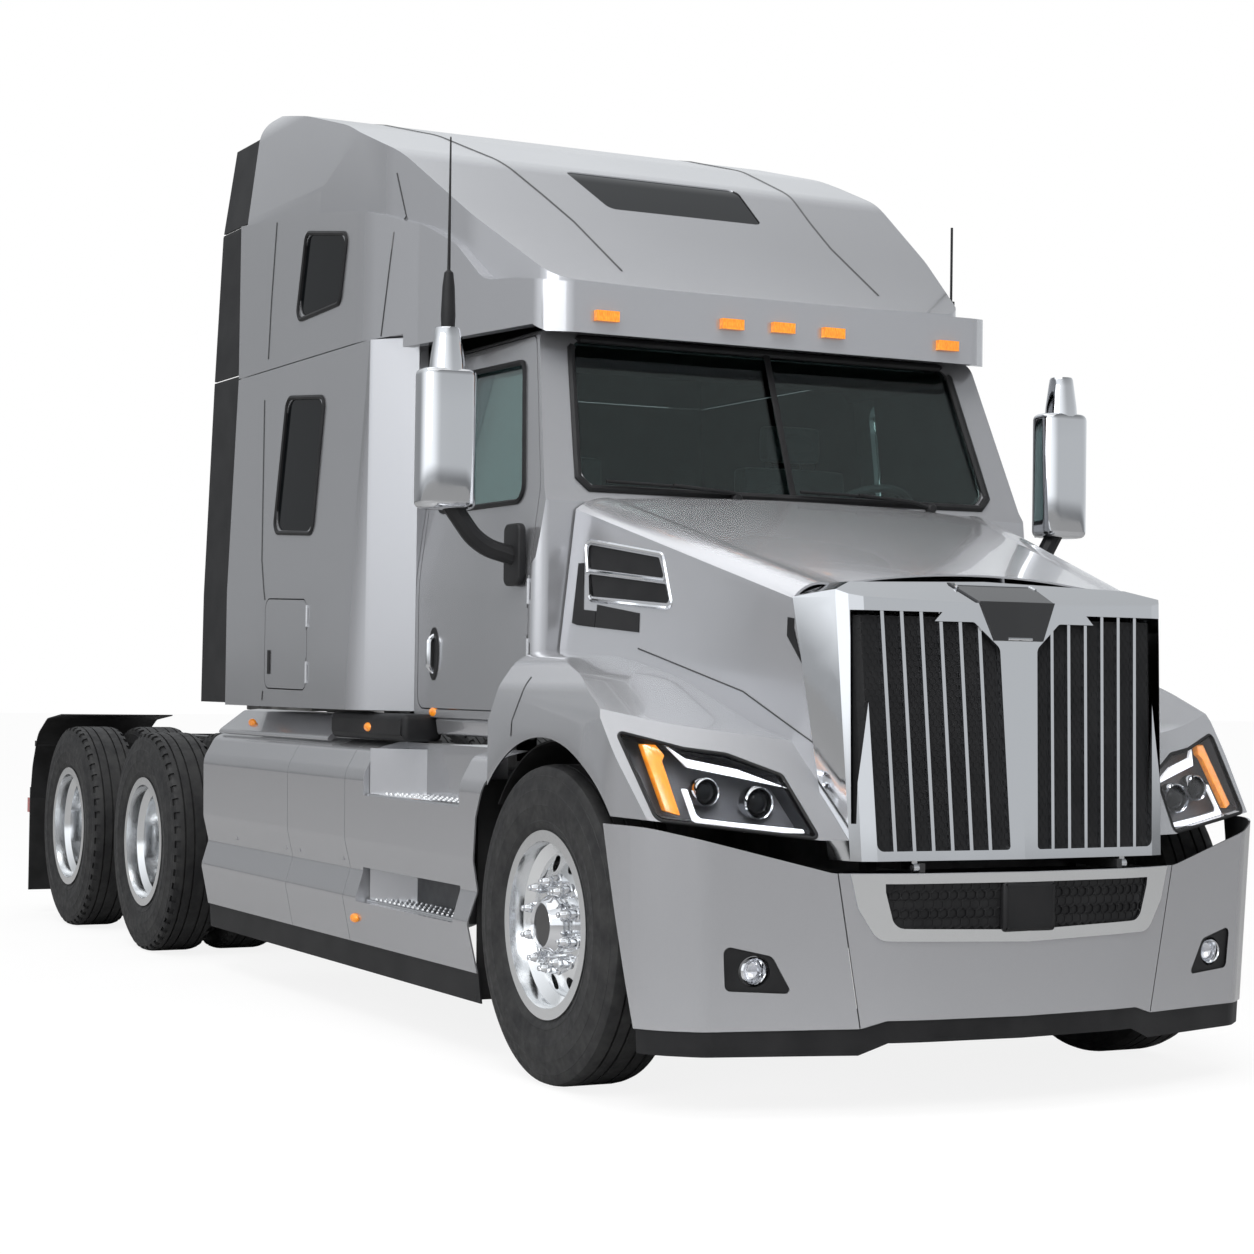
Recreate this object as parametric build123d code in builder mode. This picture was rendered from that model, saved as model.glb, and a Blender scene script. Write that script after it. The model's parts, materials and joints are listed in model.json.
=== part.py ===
"""Highway tractor unit with three axles and a sleeper: the whole vehicle, piece by piece.

Millimetres. The front faces -Y, +X is the vehicle's left (driver's) side, +Z is up.
The origin is on the ground below the middle of the vehicle.
"""

from build123d import *
import math
import os

os.makedirs("parts", exist_ok=True)

# ---- driving dimensions ----
front_overhang = 1020  # bumper face to front axle
wheelbase = 4495  # front axle to first drive axle
tandem_spacing = 1370
rear_overhang = 870  # second drive axle to the rear lamps
overall_length = front_overhang + wheelbase + tandem_spacing + rear_overhang


def at(station):
    """The y of a place that lies this far behind the bumper's face."""
    return station - overall_length / 2


# wheels
tyre_radius = 527
tyre_width = 280
twin_tyre_width = 275
bead_radius = 286
rim_lip = 310
rim_half = 118  # half the width between a rim's lips
bead_half = rim_half - 0.3
front_wheel_half = 1085  # middle of a front tyre
twin_outer_half = 1105  # middle of the outer tyre of a pair
twin_pitch = 340  # between the middles of a pair
axle_height = tyre_radius
pin_gap = 0.05  # running fit of a pin in its bore
seat_gap = 0.3  # pieces of two bodies that sit against each other
seam = 4  # open line between two panels

front_axle_y = at(front_overhang)
drive_axle_y = [at(front_overhang + wheelbase), at(front_overhang + wheelbase + tandem_spacing)]
kingpin_half = 925
kingpin_radius = 25
boss_radius = 50
boss_half_height = 60
yoke_arm = 45  # thickness of a knuckle's upper and lower arm
spindle_radius = 40
drive_spindle_radius = 60

# frame
rail_half = 432  # outer face of a rail
rail_depth = 270
rail_flange = 90
rail_wall = 9
rail_top = 1000
rail_front = at(330)
tail_lamp_depth = 35
rail_rear = at(overall_length - tail_lamp_depth)
rail_bottom = rail_top - rail_depth
rail_inner = rail_half - rail_wall
spring_half = rail_half - 45  # middle of a spring below its rail

# body
body_half = 1230  # fenders, bumper ends and side fairings
panel = 6  # painted moulded panels
wall = 45  # cab and sleeper walls with their lining
cab_half = 1050
cab_waist = 1700  # height where the cab sides start to lean in
cab_roof_half = 930
cab_roof = 2600
cab_floor = 1185
cab_front = at(1462)
cab_corner = 50
windshield_foot = (at(1490), 2005)
windshield_head = (at(1712), 2580)
door_front = at(1520)
door_front_top = at(1730)
door_rear = at(2520)
door_bottom = 1215
door_top = 2575
door_gap = 5
sleeper_half = 1220
sleeper_top_half = 1182
sleeper_waist = 1700  # height where the sleeper's sides start to lean in
sleeper_front = at(2550)
sleeper_corner = at(2790)
sleeper_rear = at(4325)
sleeper_floor = 1205
belt_height = 2650
sleeper_lean = (sleeper_half - sleeper_top_half) / (belt_height - sleeper_waist)
roof_height = 3850
extender_depth = 345
fairing_top = 1085
fairing_bottom = 305
skirt_bottom = 200
fairing_rear = at(4600)

print("overall length", overall_length)


def save(builder, name):
    """Labels a finished piece and writes it."""
    builder.part.label = name
    export_step(builder.part, f"parts/{name}.step")


def box(low, high, mode=Mode.ADD):
    """A block between two opposite corners."""
    size = [b - a for a, b in zip(low, high)]
    middle = [(a + b) / 2 for a, b in zip(low, high)]
    with Locations(tuple(middle)):
        Box(*size, mode=mode)


def bar(start, end, radius, mode=Mode.ADD):
    """A round bar from one point to another."""
    start, end = Vector(*start), Vector(*end)
    with Locations(Plane(origin=start, z_dir=end - start)):
        Cylinder(
            radius,
            (end - start).length,
            align=(Align.CENTER, Align.CENTER, Align.MIN),
            mode=mode,
        )


def drawn(plane, points, gap=0):
    """A closed outline grown by a gap. A point's third number is the radius of its corner."""
    with BuildSketch(plane) as outline:
        with BuildLine():
            Polyline(*[point[:2] for point in points], close=True)
        make_face()
        for a, b, radius in [point for point in points if len(point) == 3]:
            fillet(outline.vertices().sort_by_distance((a, b))[0], radius)
        if gap:
            offset(amount=gap, kind=Kind.INTERSECTION)
    return outline.sketch


def prism_x(points, low, high, mode=Mode.ADD):
    """A side outline of (y, z) points drawn out from one x to another."""
    extrude(drawn(Plane.YZ.offset(low), points), amount=high - low, mode=mode)


def prism_y(points, low, high, mode=Mode.ADD):
    """A front outline of (x, z) points drawn out from one y to another."""
    extrude(drawn(Plane.XZ.offset(-low), points), amount=-(high - low), mode=mode)


def prism_z(points, low, high, mode=Mode.ADD):
    """A plan outline of (x, y) points drawn up from one z to another."""
    extrude(drawn(Plane.XY.offset(low), points), amount=high - low, mode=mode)


def mirrored(points):
    """A half outline at x >= 0, closed with its mirror image."""
    return [*points, *[(-point[0], *point[1:]) for point in reversed(points) if point[0] != 0]]


hinge_radius = 9
hinge_pin = 4
hinge_barrel = 60
hinge_lug = 14


def hinge_fixed(x, y, z):
    """Cuts a door frame clear of a hinge's barrel and adds the two lugs and the pin that hold it."""
    with Locations((x, y, z)):
        Cylinder(hinge_radius + door_gap, hinge_barrel + 2 * seat_gap, mode=Mode.SUBTRACT)
    for way in (-1, 1):
        with Locations((x, y, z + way * (hinge_barrel / 2 + seat_gap + hinge_lug / 2))):
            Cylinder(hinge_radius, hinge_lug)
    with Locations((x, y, z)):
        Cylinder(hinge_pin, hinge_barrel + 2 * seat_gap + 2 * hinge_lug)


def hinge_moving(x, y, z):
    """Cuts a door clear of a hinge's lugs and adds the barrel that turns on its pin."""
    for way in (-1, 1):
        with Locations((x, y, z + way * (hinge_barrel / 2 + hinge_lug))):
            Cylinder(hinge_radius + door_gap, 2 * hinge_lug, mode=Mode.SUBTRACT)
    with Locations((x, y, z)):
        Cylinder(hinge_radius, hinge_barrel)
        Cylinder(hinge_pin + pin_gap, hinge_barrel, mode=Mode.SUBTRACT)


# ---- frame ----
# station and top of the pads that carry the cab and the sleeper
cab_pads = [(1560, cab_floor), (3000, sleeper_floor), (4150, sleeper_floor)]
hood_pivot = (at(60), 764)
hood_bracket_half = 390
hood_bracket_wall = 20
hood_pin = 8
crossmember_stations = [3700, 4700, 5050, 6200, 7350]
crossmember_low, crossmember_high = 900, 980
with BuildPart() as frame_rails:
    for side in (-1, 1):
        channel = [
            (side * rail_half, rail_bottom),
            (side * rail_half, rail_top),
            (side * (rail_half - rail_flange), rail_top),
            (side * (rail_half - rail_flange), rail_top - rail_wall),
            (side * rail_inner, rail_top - rail_wall),
            (side * rail_inner, rail_bottom + rail_wall),
            (side * (rail_half - rail_flange), rail_bottom + rail_wall),
            (side * (rail_half - rail_flange), rail_bottom),
        ]
        prism_y(channel, rail_front, rail_rear)
    for station in crossmember_stations:
        box(
            (-rail_inner, at(station) - 40, crossmember_low),
            (rail_inner, at(station) + 40, crossmember_high),
        )
    box((-rail_inner, rail_front, rail_bottom), (rail_inner, rail_front + 40, rail_top - rail_wall))
    box((-rail_inner, rail_rear - rail_wall, rail_bottom), (rail_inner, rail_rear, rail_top))
    for side in (-1, 1):
        inner, outer = sorted((side * (rail_half - rail_flange), side * rail_half))
        for station, top in cab_pads:
            box((inner, at(station) - 60, rail_top), (outer, at(station) + 60, top))
        inner, outer = sorted((side * (hood_bracket_half - hood_bracket_wall), side * hood_bracket_half))
        pivot_y, pivot_z = hood_pivot
        box((inner, pivot_y - 14, pivot_z - 14), (outer, rail_front, pivot_z + 14))
        pin_end = side * (hood_bracket_half + hood_bracket_wall + 2)
        bar((inner if side > 0 else outer, pivot_y, pivot_z), (pin_end, pivot_y, pivot_z), hood_pin)
save(frame_rails, "frame_rails")

# ---- front axle: drop beam, kingpin bosses, leaf springs and their hangers ----
beam_half_width = 50
beam_top = axle_height + 60
beam_drop = 60
spring_reach = 620
leaf_width = 90
leaf_pack = 55
with BuildPart() as front_axle:
    beam = [
        (0, beam_top - beam_drop),
        (260, beam_top - beam_drop),
        (spring_half - leaf_width / 2, beam_top),
        (kingpin_half - 20, axle_height + boss_half_height),
        (kingpin_half - 20, axle_height - boss_half_height),
        (600, axle_height - boss_half_height),
        (300, beam_top - beam_drop - 110),
        (0, beam_top - beam_drop - 110),
    ]
    prism_y(mirrored(beam), front_axle_y - beam_half_width, front_axle_y + beam_half_width)
    for side in (-1, 1):
        with Locations((side * kingpin_half, front_axle_y, axle_height)):
            Cylinder(boss_radius, 2 * boss_half_height)
            Cylinder(kingpin_radius + pin_gap, 2 * boss_half_height + 2, mode=Mode.SUBTRACT)
        low, high = side * spring_half - leaf_width / 2, side * spring_half + leaf_width / 2
        with BuildSketch(Plane.YZ.offset(low)):
            with BuildLine():
                ThreePointArc(
                    (front_axle_y - spring_reach, 690),
                    (front_axle_y, beam_top),
                    (front_axle_y + spring_reach, 690),
                )
                Line((front_axle_y + spring_reach, 690), (front_axle_y + spring_reach, 702))
                ThreePointArc(
                    (front_axle_y + spring_reach, 702),
                    (front_axle_y, beam_top + leaf_pack),
                    (front_axle_y - spring_reach, 702),
                )
                Line((front_axle_y - spring_reach, 702), (front_axle_y - spring_reach, 690))
            make_face()
        extrude(amount=leaf_width)
        for end in (-1, 1):
            middle = front_axle_y + end * spring_reach
            box((low, middle - 35, 680), (high, middle + 35, rail_bottom))
save(front_axle, "front_axle")

# ---- steering knuckles ----
yoke_reach = 85  # from the kingpin to the spindle's shoulder
spindle_end = 250  # from the kingpin to the spindle's end
for name, side in (("knuckle_left", 1), ("knuckle_right", -1)):
    with BuildPart() as knuckle:
        x = side * kingpin_half
        top = axle_height + boss_half_height + seat_gap
        bottom = axle_height - boss_half_height - seat_gap
        for low in (top, bottom - yoke_arm):
            with Locations((x, front_axle_y, low + yoke_arm / 2)):
                Cylinder(boss_radius, yoke_arm)
            box(
                (min(x, x + side * yoke_reach), front_axle_y - boss_radius, low),
                (max(x, x + side * yoke_reach), front_axle_y + boss_radius, low + yoke_arm),
            )
        bar((x, front_axle_y, bottom - yoke_arm), (x, front_axle_y, top + yoke_arm), kingpin_radius)
        shoulder = sorted((x + side * (boss_radius + 5), x + side * yoke_reach))
        box(
            (shoulder[0], front_axle_y - boss_radius, bottom - yoke_arm),
            (shoulder[1], front_axle_y + boss_radius, top + yoke_arm),
        )
        bar(
            (x + side * yoke_reach, front_axle_y, axle_height),
            (x + side * spindle_end, front_axle_y, axle_height),
            spindle_radius,
        )
        bar(
            (x + side * (yoke_reach - 14), front_axle_y, axle_height),
            (x + side * yoke_reach, front_axle_y, axle_height),
            200,
        )
    save(knuckle, name)


# ---- wheels ----
def axle_plane(y):
    """An upright plane across the vehicle through an axle: x outwards, y up from the axle."""
    return Plane(origin=(0, y, axle_height), x_dir=(1, 0, 0), z_dir=(0, -1, 0))


def axle_line(y):
    """The axis that a wheel at this y turns about."""
    return Axis((0, y, axle_height), (1, 0, 0))


def tyre(middle, width, y):
    """A tyre as a ring about its axle: tread, shoulders, bulged sidewalls and beads."""
    half = width / 2
    with BuildSketch(axle_plane(y)) as outline:
        with BuildLine():
            Polyline(
                (middle - bead_half, rim_lip + 4),
                (middle - bead_half, bead_radius + seat_gap),
                (middle + bead_half, bead_radius + seat_gap),
                (middle + bead_half, rim_lip + 4),
            )
            for way in (1, -1):
                ThreePointArc(
                    (middle + way * bead_half, rim_lip + 4),
                    (middle + way * half, (rim_lip + tyre_radius) / 2),
                    (middle + way * (half - 16), tyre_radius - 22),
                )
                ThreePointArc(
                    (middle + way * (half - 16), tyre_radius - 22),
                    (middle + way * (half - 24), tyre_radius - 9),
                    (middle + way * (half - 42), tyre_radius - 3),
                )
            Polyline(
                (middle + half - 42, tyre_radius - 3),
                (middle + half - 80, tyre_radius),
                (middle - half + 80, tyre_radius),
                (middle - half + 42, tyre_radius - 3),
            )
        make_face()
    revolve(outline.sketch, axis=axle_line(y))


def turned(points, y, mode=Mode.ADD):
    """Turns an outline of (x, radius) points about the axle at this y."""
    with BuildSketch(axle_plane(y)) as outline:
        with BuildLine():
            Polyline(*points, close=True)
        make_face()
    revolve(outline.sketch, axis=axle_line(y), mode=mode)


rim_wall = 12
well_radius = 250
hub_radius = 100
nut_circle = 142
nut_radius = 17
nut_length = 62
nut_count = 10
hand_hole_circle = 205
hand_hole_radius = 27


def rim_barrel(middle, y):
    """A wheel's barrel about the axle at y: lips, bead seats and the well between them."""
    outline = [
        (rim_half + 8, rim_lip),
        (rim_half, rim_lip),
        (rim_half, bead_radius),
        (70, bead_radius - 4),
        (46, well_radius),
        (-46, well_radius),
        (-70, bead_radius - 4),
        (-rim_half, bead_radius),
        (-rim_half, rim_lip),
        (-rim_half - 8, rim_lip),
        (-rim_half - 8, bead_radius - rim_wall),
        (-74, bead_radius - rim_wall - 4),
        (-50, well_radius - rim_wall),
        (50, well_radius - rim_wall),
        (74, bead_radius - rim_wall - 4),
        (rim_half + 8, bead_radius - rim_wall),
    ]
    turned([(middle + x, radius) for x, radius in outline], y)


for name, side in (("left", 1), ("right", -1)):
    with BuildPart() as front_tyre:
        tyre(side * front_wheel_half, tyre_width, front_axle_y)
    save(front_tyre, f"front_tyre_{name}")

for name, side in (("left", 1), ("right", -1)):
    middle = side * front_wheel_half
    disc = middle + side * 55  # back of the disc
    with BuildPart() as front_rim:
        rim_barrel(middle, front_axle_y)
        face = [
            (side * 0, spindle_radius + seat_gap),
            (side * 0, hub_radius + 60),
            (side * -25, 225),
            (side * -25, well_radius - rim_wall / 2),
            (side * -10, well_radius - rim_wall / 2),
            (side * -10, 225),
            (side * 14, hub_radius + 60),
            (side * 14, hub_radius),
            (side * 50, hub_radius - 8),
            (side * 50, 0),
            (side * 36, 0),
            (side * 36, spindle_radius + seat_gap),
        ]
        turned([(disc + x, radius) for x, radius in face], front_axle_y)
        hub = [
            (middle - side * 60, spindle_radius + seat_gap),
            (middle - side * 60, hub_radius),
            (disc, hub_radius),
            (disc, spindle_radius + seat_gap),
        ]
        turned(hub, front_axle_y)
        with Locations(Plane(origin=(disc, front_axle_y, axle_height), z_dir=(side, 0, 0))):
            with PolarLocations(nut_circle, nut_count):
                Cylinder(nut_radius, nut_length, align=(Align.CENTER, Align.CENTER, Align.MIN))
            with PolarLocations(hand_hole_circle, nut_count, start_angle=180 / nut_count):
                Cylinder(hand_hole_radius, 120, mode=Mode.SUBTRACT)
    save(front_rim, f"front_rim_{name}")

drive_hub_radius = 105
for pair, y in enumerate(drive_axle_y, start=1):
    for name, side in (("left", 1), ("right", -1)):
        outer, inner = side * twin_outer_half, side * (twin_outer_half - twin_pitch)
        disc = (outer + inner) / 2
        with BuildPart() as drive_tyres:
            tyre(outer, twin_tyre_width, y)
            tyre(inner, twin_tyre_width, y)
        save(drive_tyres, f"drive_tyres_{pair}_{name}")
        with BuildPart() as drive_rims:
            rim_barrel(outer, y)
            rim_barrel(inner, y)
            face = [
                (side * 12, drive_hub_radius),
                (side * 12, 175),
                (side * 60, 235),
                (side * 60, bead_radius - rim_wall / 2),
                (side * 44, bead_radius - rim_wall / 2),
                (side * 44, 235),
                (0, 175),
                (side * -44, 235),
                (side * -44, bead_radius - rim_wall / 2),
                (side * -60, bead_radius - rim_wall / 2),
                (side * -60, 235),
                (side * -12, 175),
                (side * -12, drive_hub_radius),
            ]
            turned([(disc + x, radius) for x, radius in face], y)
            hub = [
                (disc - side * 230, drive_spindle_radius + seat_gap),
                (disc - side * 230, drive_hub_radius),
                (disc + side * 120, drive_hub_radius),
                (disc + side * 120, drive_hub_radius - 20),
                (disc + side * 140, drive_hub_radius - 25),
                (disc + side * 140, 0),
                (disc + side * 120, 0),
                (disc + side * 120, drive_spindle_radius + seat_gap),
            ]
            turned(hub, y)
            with Locations(Plane(origin=(disc, y, axle_height), z_dir=(side, 0, 0))):
                with PolarLocations(nut_circle, nut_count):
                    Cylinder(nut_radius, nut_length, align=(Align.CENTER, Align.CENTER, Align.MIN))
                with PolarLocations(hand_hole_circle, nut_count, start_angle=180 / nut_count):
                    Cylinder(hand_hole_radius, 200, mode=Mode.SUBTRACT)
        save(drive_rims, f"drive_rims_{pair}_{name}")

# ---- drive axles with their suspension and shafts ----
axle_tube_radius = 75
housing_radius = 210
drive_beam_low, drive_beam_high = axle_height + axle_tube_radius, 650
gearbox_end = (at(2700), 930)
hub_inner = (twin_outer_half - twin_pitch / 2) - 230
with BuildPart() as drive_axles:
    for y in drive_axle_y:
        bar((-hub_inner + 10, y, axle_height), (hub_inner - 10, y, axle_height), axle_tube_radius)
        for side in (-1, 1):
            bar(
                (side * (hub_inner - 12), y, axle_height),
                (side * (hub_inner + 340), y, axle_height),
                drive_spindle_radius,
            )
            low, high = side * spring_half - leaf_width / 2, side * spring_half + leaf_width / 2
            box((low, y - 480, drive_beam_low - 20), (high, y + 330, drive_beam_high))
            box((low, y - 480, drive_beam_low - 20), (high, y - 410, rail_bottom))
            with Locations((side * spring_half, y + 240, (drive_beam_high + rail_bottom) / 2)):
                Cylinder(85, rail_bottom - drive_beam_high)
        bar((-80, y, axle_height), (110, y, axle_height), housing_radius)
        bar((0, y - 300, 600), (0, y, 600), 90)
    bar((0, gearbox_end[0] + 7.2, gearbox_end[1]), (0, drive_axle_y[0] - 290, 600), 55)
    bar((0, drive_axle_y[0], 600), (0, drive_axle_y[1] - 290, 600), 50)
save(drive_axles, "drive_axles")

# ---- engine, gearbox and cooling pack ----
with BuildPart() as engine_block:
    box((-280, at(640), 820), (280, at(1440), 1480))
    box((-200, at(1440), 800), (200, gearbox_end[0], 1130))
save(engine_block, "engine_block")

radiator_low = rail_top
with BuildPart() as radiator:
    box((-470, at(420), radiator_low), (470, at(540), 1520))
save(radiator, "radiator")

# ---- tanks and boxes along the frame ----
tank_radius = 305
tank_half = 790
with BuildPart() as fuel_tanks:
    for side in (-1, 1):
        bar((side * tank_half, at(2760), 640), (side * tank_half, at(4380), 640), tank_radius)
        for station in (2950, 3570, 4190):
            inner, outer = sorted((side * rail_half, side * (tank_half - 150)))
            box((inner, at(station) - 40, rail_bottom + 20), (outer, at(station) + 40, rail_top - 40))
save(fuel_tanks, "fuel_tanks")
with BuildPart() as chassis_boxes:
    for side in (-1, 1):
        inner, outer = sorted((side * rail_half, side * 880))
        box((inner, at(1820), 420), (outer, at(2640), 980))
save(chassis_boxes, "chassis_boxes")

deck_thickness = 6
with BuildPart() as deck_plate:
    box(
        (-rail_half, at(4340), rail_top),
        (rail_half, at(5180), rail_top + deck_thickness),
    )
save(deck_plate, "deck_plate")

# ---- fifth wheel ----
fifth_wheel_y = at(6080)
fifth_wheel_top = 1200
plate_thickness = 40
kingpin_bore = 25.6
pivot_height = 1105
pivot_radius = 30
ear_thickness = 40
bracket_gap = 6
base_thickness = 15
with BuildPart() as fifth_wheel_base:
    box(
        (-rail_half, fifth_wheel_y - 330, rail_top),
        (rail_half, fifth_wheel_y + 330, rail_top + base_thickness),
    )
    for side in (-1, 1):
        inner, outer = sorted((side * 330, side * 400))
        foot = rail_top + base_thickness
        outline = [
            (fifth_wheel_y - 170, foot),
            (fifth_wheel_y + 170, foot),
            (fifth_wheel_y + 45, pivot_height + 40),
            (fifth_wheel_y - 45, pivot_height + 40),
        ]
        prism_x(outline, inner, outer)
        bar(
            (side * (330 - bracket_gap - ear_thickness), fifth_wheel_y, pivot_height),
            (side * 400, fifth_wheel_y, pivot_height),
            pivot_radius,
        )
save(fifth_wheel_base, "fifth_wheel_base")

with BuildPart() as fifth_wheel_plate:
    low = fifth_wheel_top - plate_thickness
    outline = [
        (0, fifth_wheel_y - 360),
        (300, fifth_wheel_y - 360),
        (465, fifth_wheel_y - 220),
        (465, fifth_wheel_y + 160),
        (360, fifth_wheel_y + 480),
        (250, fifth_wheel_y + 480),
        (60, fifth_wheel_y + 90),
        (0, fifth_wheel_y + 90),
    ]
    prism_z(mirrored(outline), low, fifth_wheel_top)
    with Locations((0, fifth_wheel_y, low - 15)):
        Cylinder(80, 30)
    with Locations((0, fifth_wheel_y, fifth_wheel_top)):
        Cylinder(kingpin_bore, 200, mode=Mode.SUBTRACT)
    for side in (-1, 1):
        high = side * (330 - bracket_gap)
        inner, outer = sorted((high, high - side * ear_thickness))
        outline = [
            (fifth_wheel_y - 120, low),
            (fifth_wheel_y - 48, pivot_height - 40),
            (fifth_wheel_y + 48, pivot_height - 40),
            (fifth_wheel_y + 120, low),
        ]
        prism_x(outline, inner, outer)
        bar(
            (inner - 1, fifth_wheel_y, pivot_height),
            (outer + 1, fifth_wheel_y, pivot_height),
            pivot_radius + pin_gap,
            mode=Mode.SUBTRACT,
        )
save(fifth_wheel_plate, "fifth_wheel_plate")

# ---- rear guards, flaps and lamps ----
guard_half = 1245
guard_wall = 6
guard_line = [(7010, 1112), (7300, 1085), (7500, 995), (7600, 820), (7640, 640)]
flap_low = 130
with BuildPart() as rear_guards:
    for side in (-1, 1):
        inner, outer = sorted((side * (guard_half - 615), side * guard_half))
        with BuildSketch(Plane.YZ.offset(inner)):
            with BuildLine():
                FilletPolyline(*[(at(s), z) for s, z in guard_line], radius=150)
                offset(amount=guard_wall, side=Side.LEFT)
            make_face()
        extrude(amount=outer - inner)
        box((inner, at(7640), flap_low), (outer, at(7652), 700))
        low, high = sorted((side * rail_half, side * (guard_half - 10)))
        box((low, at(7530), rail_top - 70), (high, at(7600), rail_top - 40))
save(rear_guards, "rear_guards")

with BuildPart() as tail_lamps:
    for side in (-1, 1):
        inner, outer = sorted((side * 180, side * 400))
        box((inner, rail_rear, 830), (outer, rail_rear + tail_lamp_depth, 930))
        inner, outer = sorted((side * (guard_half - 150), side * guard_half))
        box((inner, at(7652), 560), (outer, at(7700), 640))
save(tail_lamps, "tail_lamps")

# ---- cab: a hollow shell with its door, windscreen and rear openings ----
lean = (cab_half - cab_roof_half) / (cab_roof - cab_waist)


def cab_side(z):
    """Half the cab's width at a height."""
    return cab_half - lean * max(0, z - cab_waist)


def windshield_y(z):
    """The windscreen plane's y at a height."""
    (foot_y, foot_z), (head_y, head_z) = windshield_foot, windshield_head
    return foot_y + (z - foot_z) * (head_y - foot_y) / (head_z - foot_z)


def cab_solid(inset):
    """The cab's outer form, or its inner one drawn in by a wall."""
    half = [
        (cab_half - inset, cab_floor + inset),
        (cab_half - inset, cab_waist, 900),
        (cab_side(cab_roof) - inset, cab_roof - inset, 60),
    ]
    front = [
        (cab_front + inset, cab_floor - 10),
        (cab_front + inset, 1960),
        (windshield_y(2000) + inset, 2000),
        (windshield_y(cab_roof + 10) + inset, cab_roof + 10),
        (sleeper_front - seam, cab_roof + 10),
        (sleeper_front - seam, cab_floor - 10),
    ]
    plan = [(cab_half - inset, cab_front + inset, cab_corner), (cab_half - inset, sleeper_front)]
    with BuildPart() as form:
        prism_y(mirrored(half), cab_front - 50, sleeper_front + 50)
        prism_x(front, -cab_half - 10, cab_half + 10, mode=Mode.INTERSECT)
        prism_z(mirrored(plan), cab_floor, cab_roof, mode=Mode.INTERSECT)
    return form.part


door_outline = [
    (door_front, 1390, 150),
    (door_front, 2010, 150),
    (door_front_top, door_top, 60),
    (door_rear, door_top, 60),
    (door_rear, door_bottom, 60),
    (at(1700), door_bottom, 150),
]


def side_slab(side, outline, gap):
    """The part of a side wall that lies inside an outline drawn in by a gap."""
    waist, top = cab_half - wall, cab_side(cab_roof) - wall
    section = [
        (waist, cab_floor - 10),
        (waist, cab_waist),
        (top, cab_roof),
        (cab_half + 20, cab_roof),
        (cab_half + 20, cab_floor - 10),
    ]
    with BuildPart() as form:
        prism_y([(side * x, z) for x, z in section], cab_front, sleeper_front)
        leaf = drawn(Plane.YZ.offset(-cab_half - 20), outline, -gap)
        extrude(leaf, amount=2 * cab_half + 40, mode=Mode.INTERSECT)
    return form.part


door_hinges = [1430, 1640]
cab_outer = cab_solid(0)
cab_inner = cab_solid(wall)
screen_low, screen_high = 2015, 2560
screen_half_low, screen_half_high = 865, 810
screen_wall = 8
with BuildPart() as cab_shell:
    add(cab_outer)
    add(cab_inner, mode=Mode.SUBTRACT)
    box(
        (-cab_half + 2 * wall, sleeper_front - 200, cab_floor + wall),
        (cab_half - 2 * wall, sleeper_front + 10, cab_roof - 2 * wall),
        mode=Mode.SUBTRACT,
    )
    for side in (-1, 1):
        add(side_slab(side, door_outline, 0), mode=Mode.SUBTRACT)
        for z in door_hinges:
            hinge_fixed(side * cab_half, door_front, z)
    screen = [(screen_half_low, screen_low, 70), (screen_half_high, screen_high, 50)]
    prism_y(mirrored(screen), cab_front - 20, windshield_y(cab_roof) + 2 * wall, mode=Mode.SUBTRACT)
save(cab_shell, "cab_shell")

with BuildPart() as windshield:
    screen = [(screen_half_low - 1, screen_low + 1, 70), (screen_half_high - 1, screen_high - 1, 50)]
    prism_y(mirrored(screen), cab_front - 20, windshield_y(cab_roof) + 2 * wall)
    slab = [
        (windshield_y(screen_low - 20) + 12, screen_low - 20),
        (windshield_y(screen_high + 20) + 12, screen_high + 20),
        (windshield_y(screen_high + 20) + 12 + screen_wall, screen_high + 20),
        (windshield_y(screen_low - 20) + 12 + screen_wall, screen_low - 20),
    ]
    prism_x(slab, -cab_half, cab_half, mode=Mode.INTERSECT)
save(windshield, "windshield")

# ---- doors ----
window_outline = [
    (at(1640), 1965, 60),
    (at(1810), 2480, 70),
    (at(2400), 2490, 70),
    (at(2420), 1965, 70),
]
glass_wall = 6
for name, side in (("left", 1), ("right", -1)):
    low, high = sorted((side * 700, side * (cab_half + 20)))
    pane = drawn(Plane.YZ.offset(low), window_outline, -1)
    with BuildPart() as door:
        add(cab_outer)
        add(side_slab(side, door_outline, door_gap), mode=Mode.INTERSECT)
        opening = drawn(Plane.YZ.offset(low), window_outline)
        extrude(opening, amount=high - low, mode=Mode.SUBTRACT)
        for z in door_hinges:
            hinge_moving(side * cab_half, door_front, z)
    save(door, f"door_{name}")
    with BuildPart() as door_glass:
        add(cab_solid(15))
        add(cab_solid(15 + glass_wall), mode=Mode.SUBTRACT)
        extrude(pane, amount=high - low, mode=Mode.INTERSECT)
    save(door_glass, f"door_glass_{name}")

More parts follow.
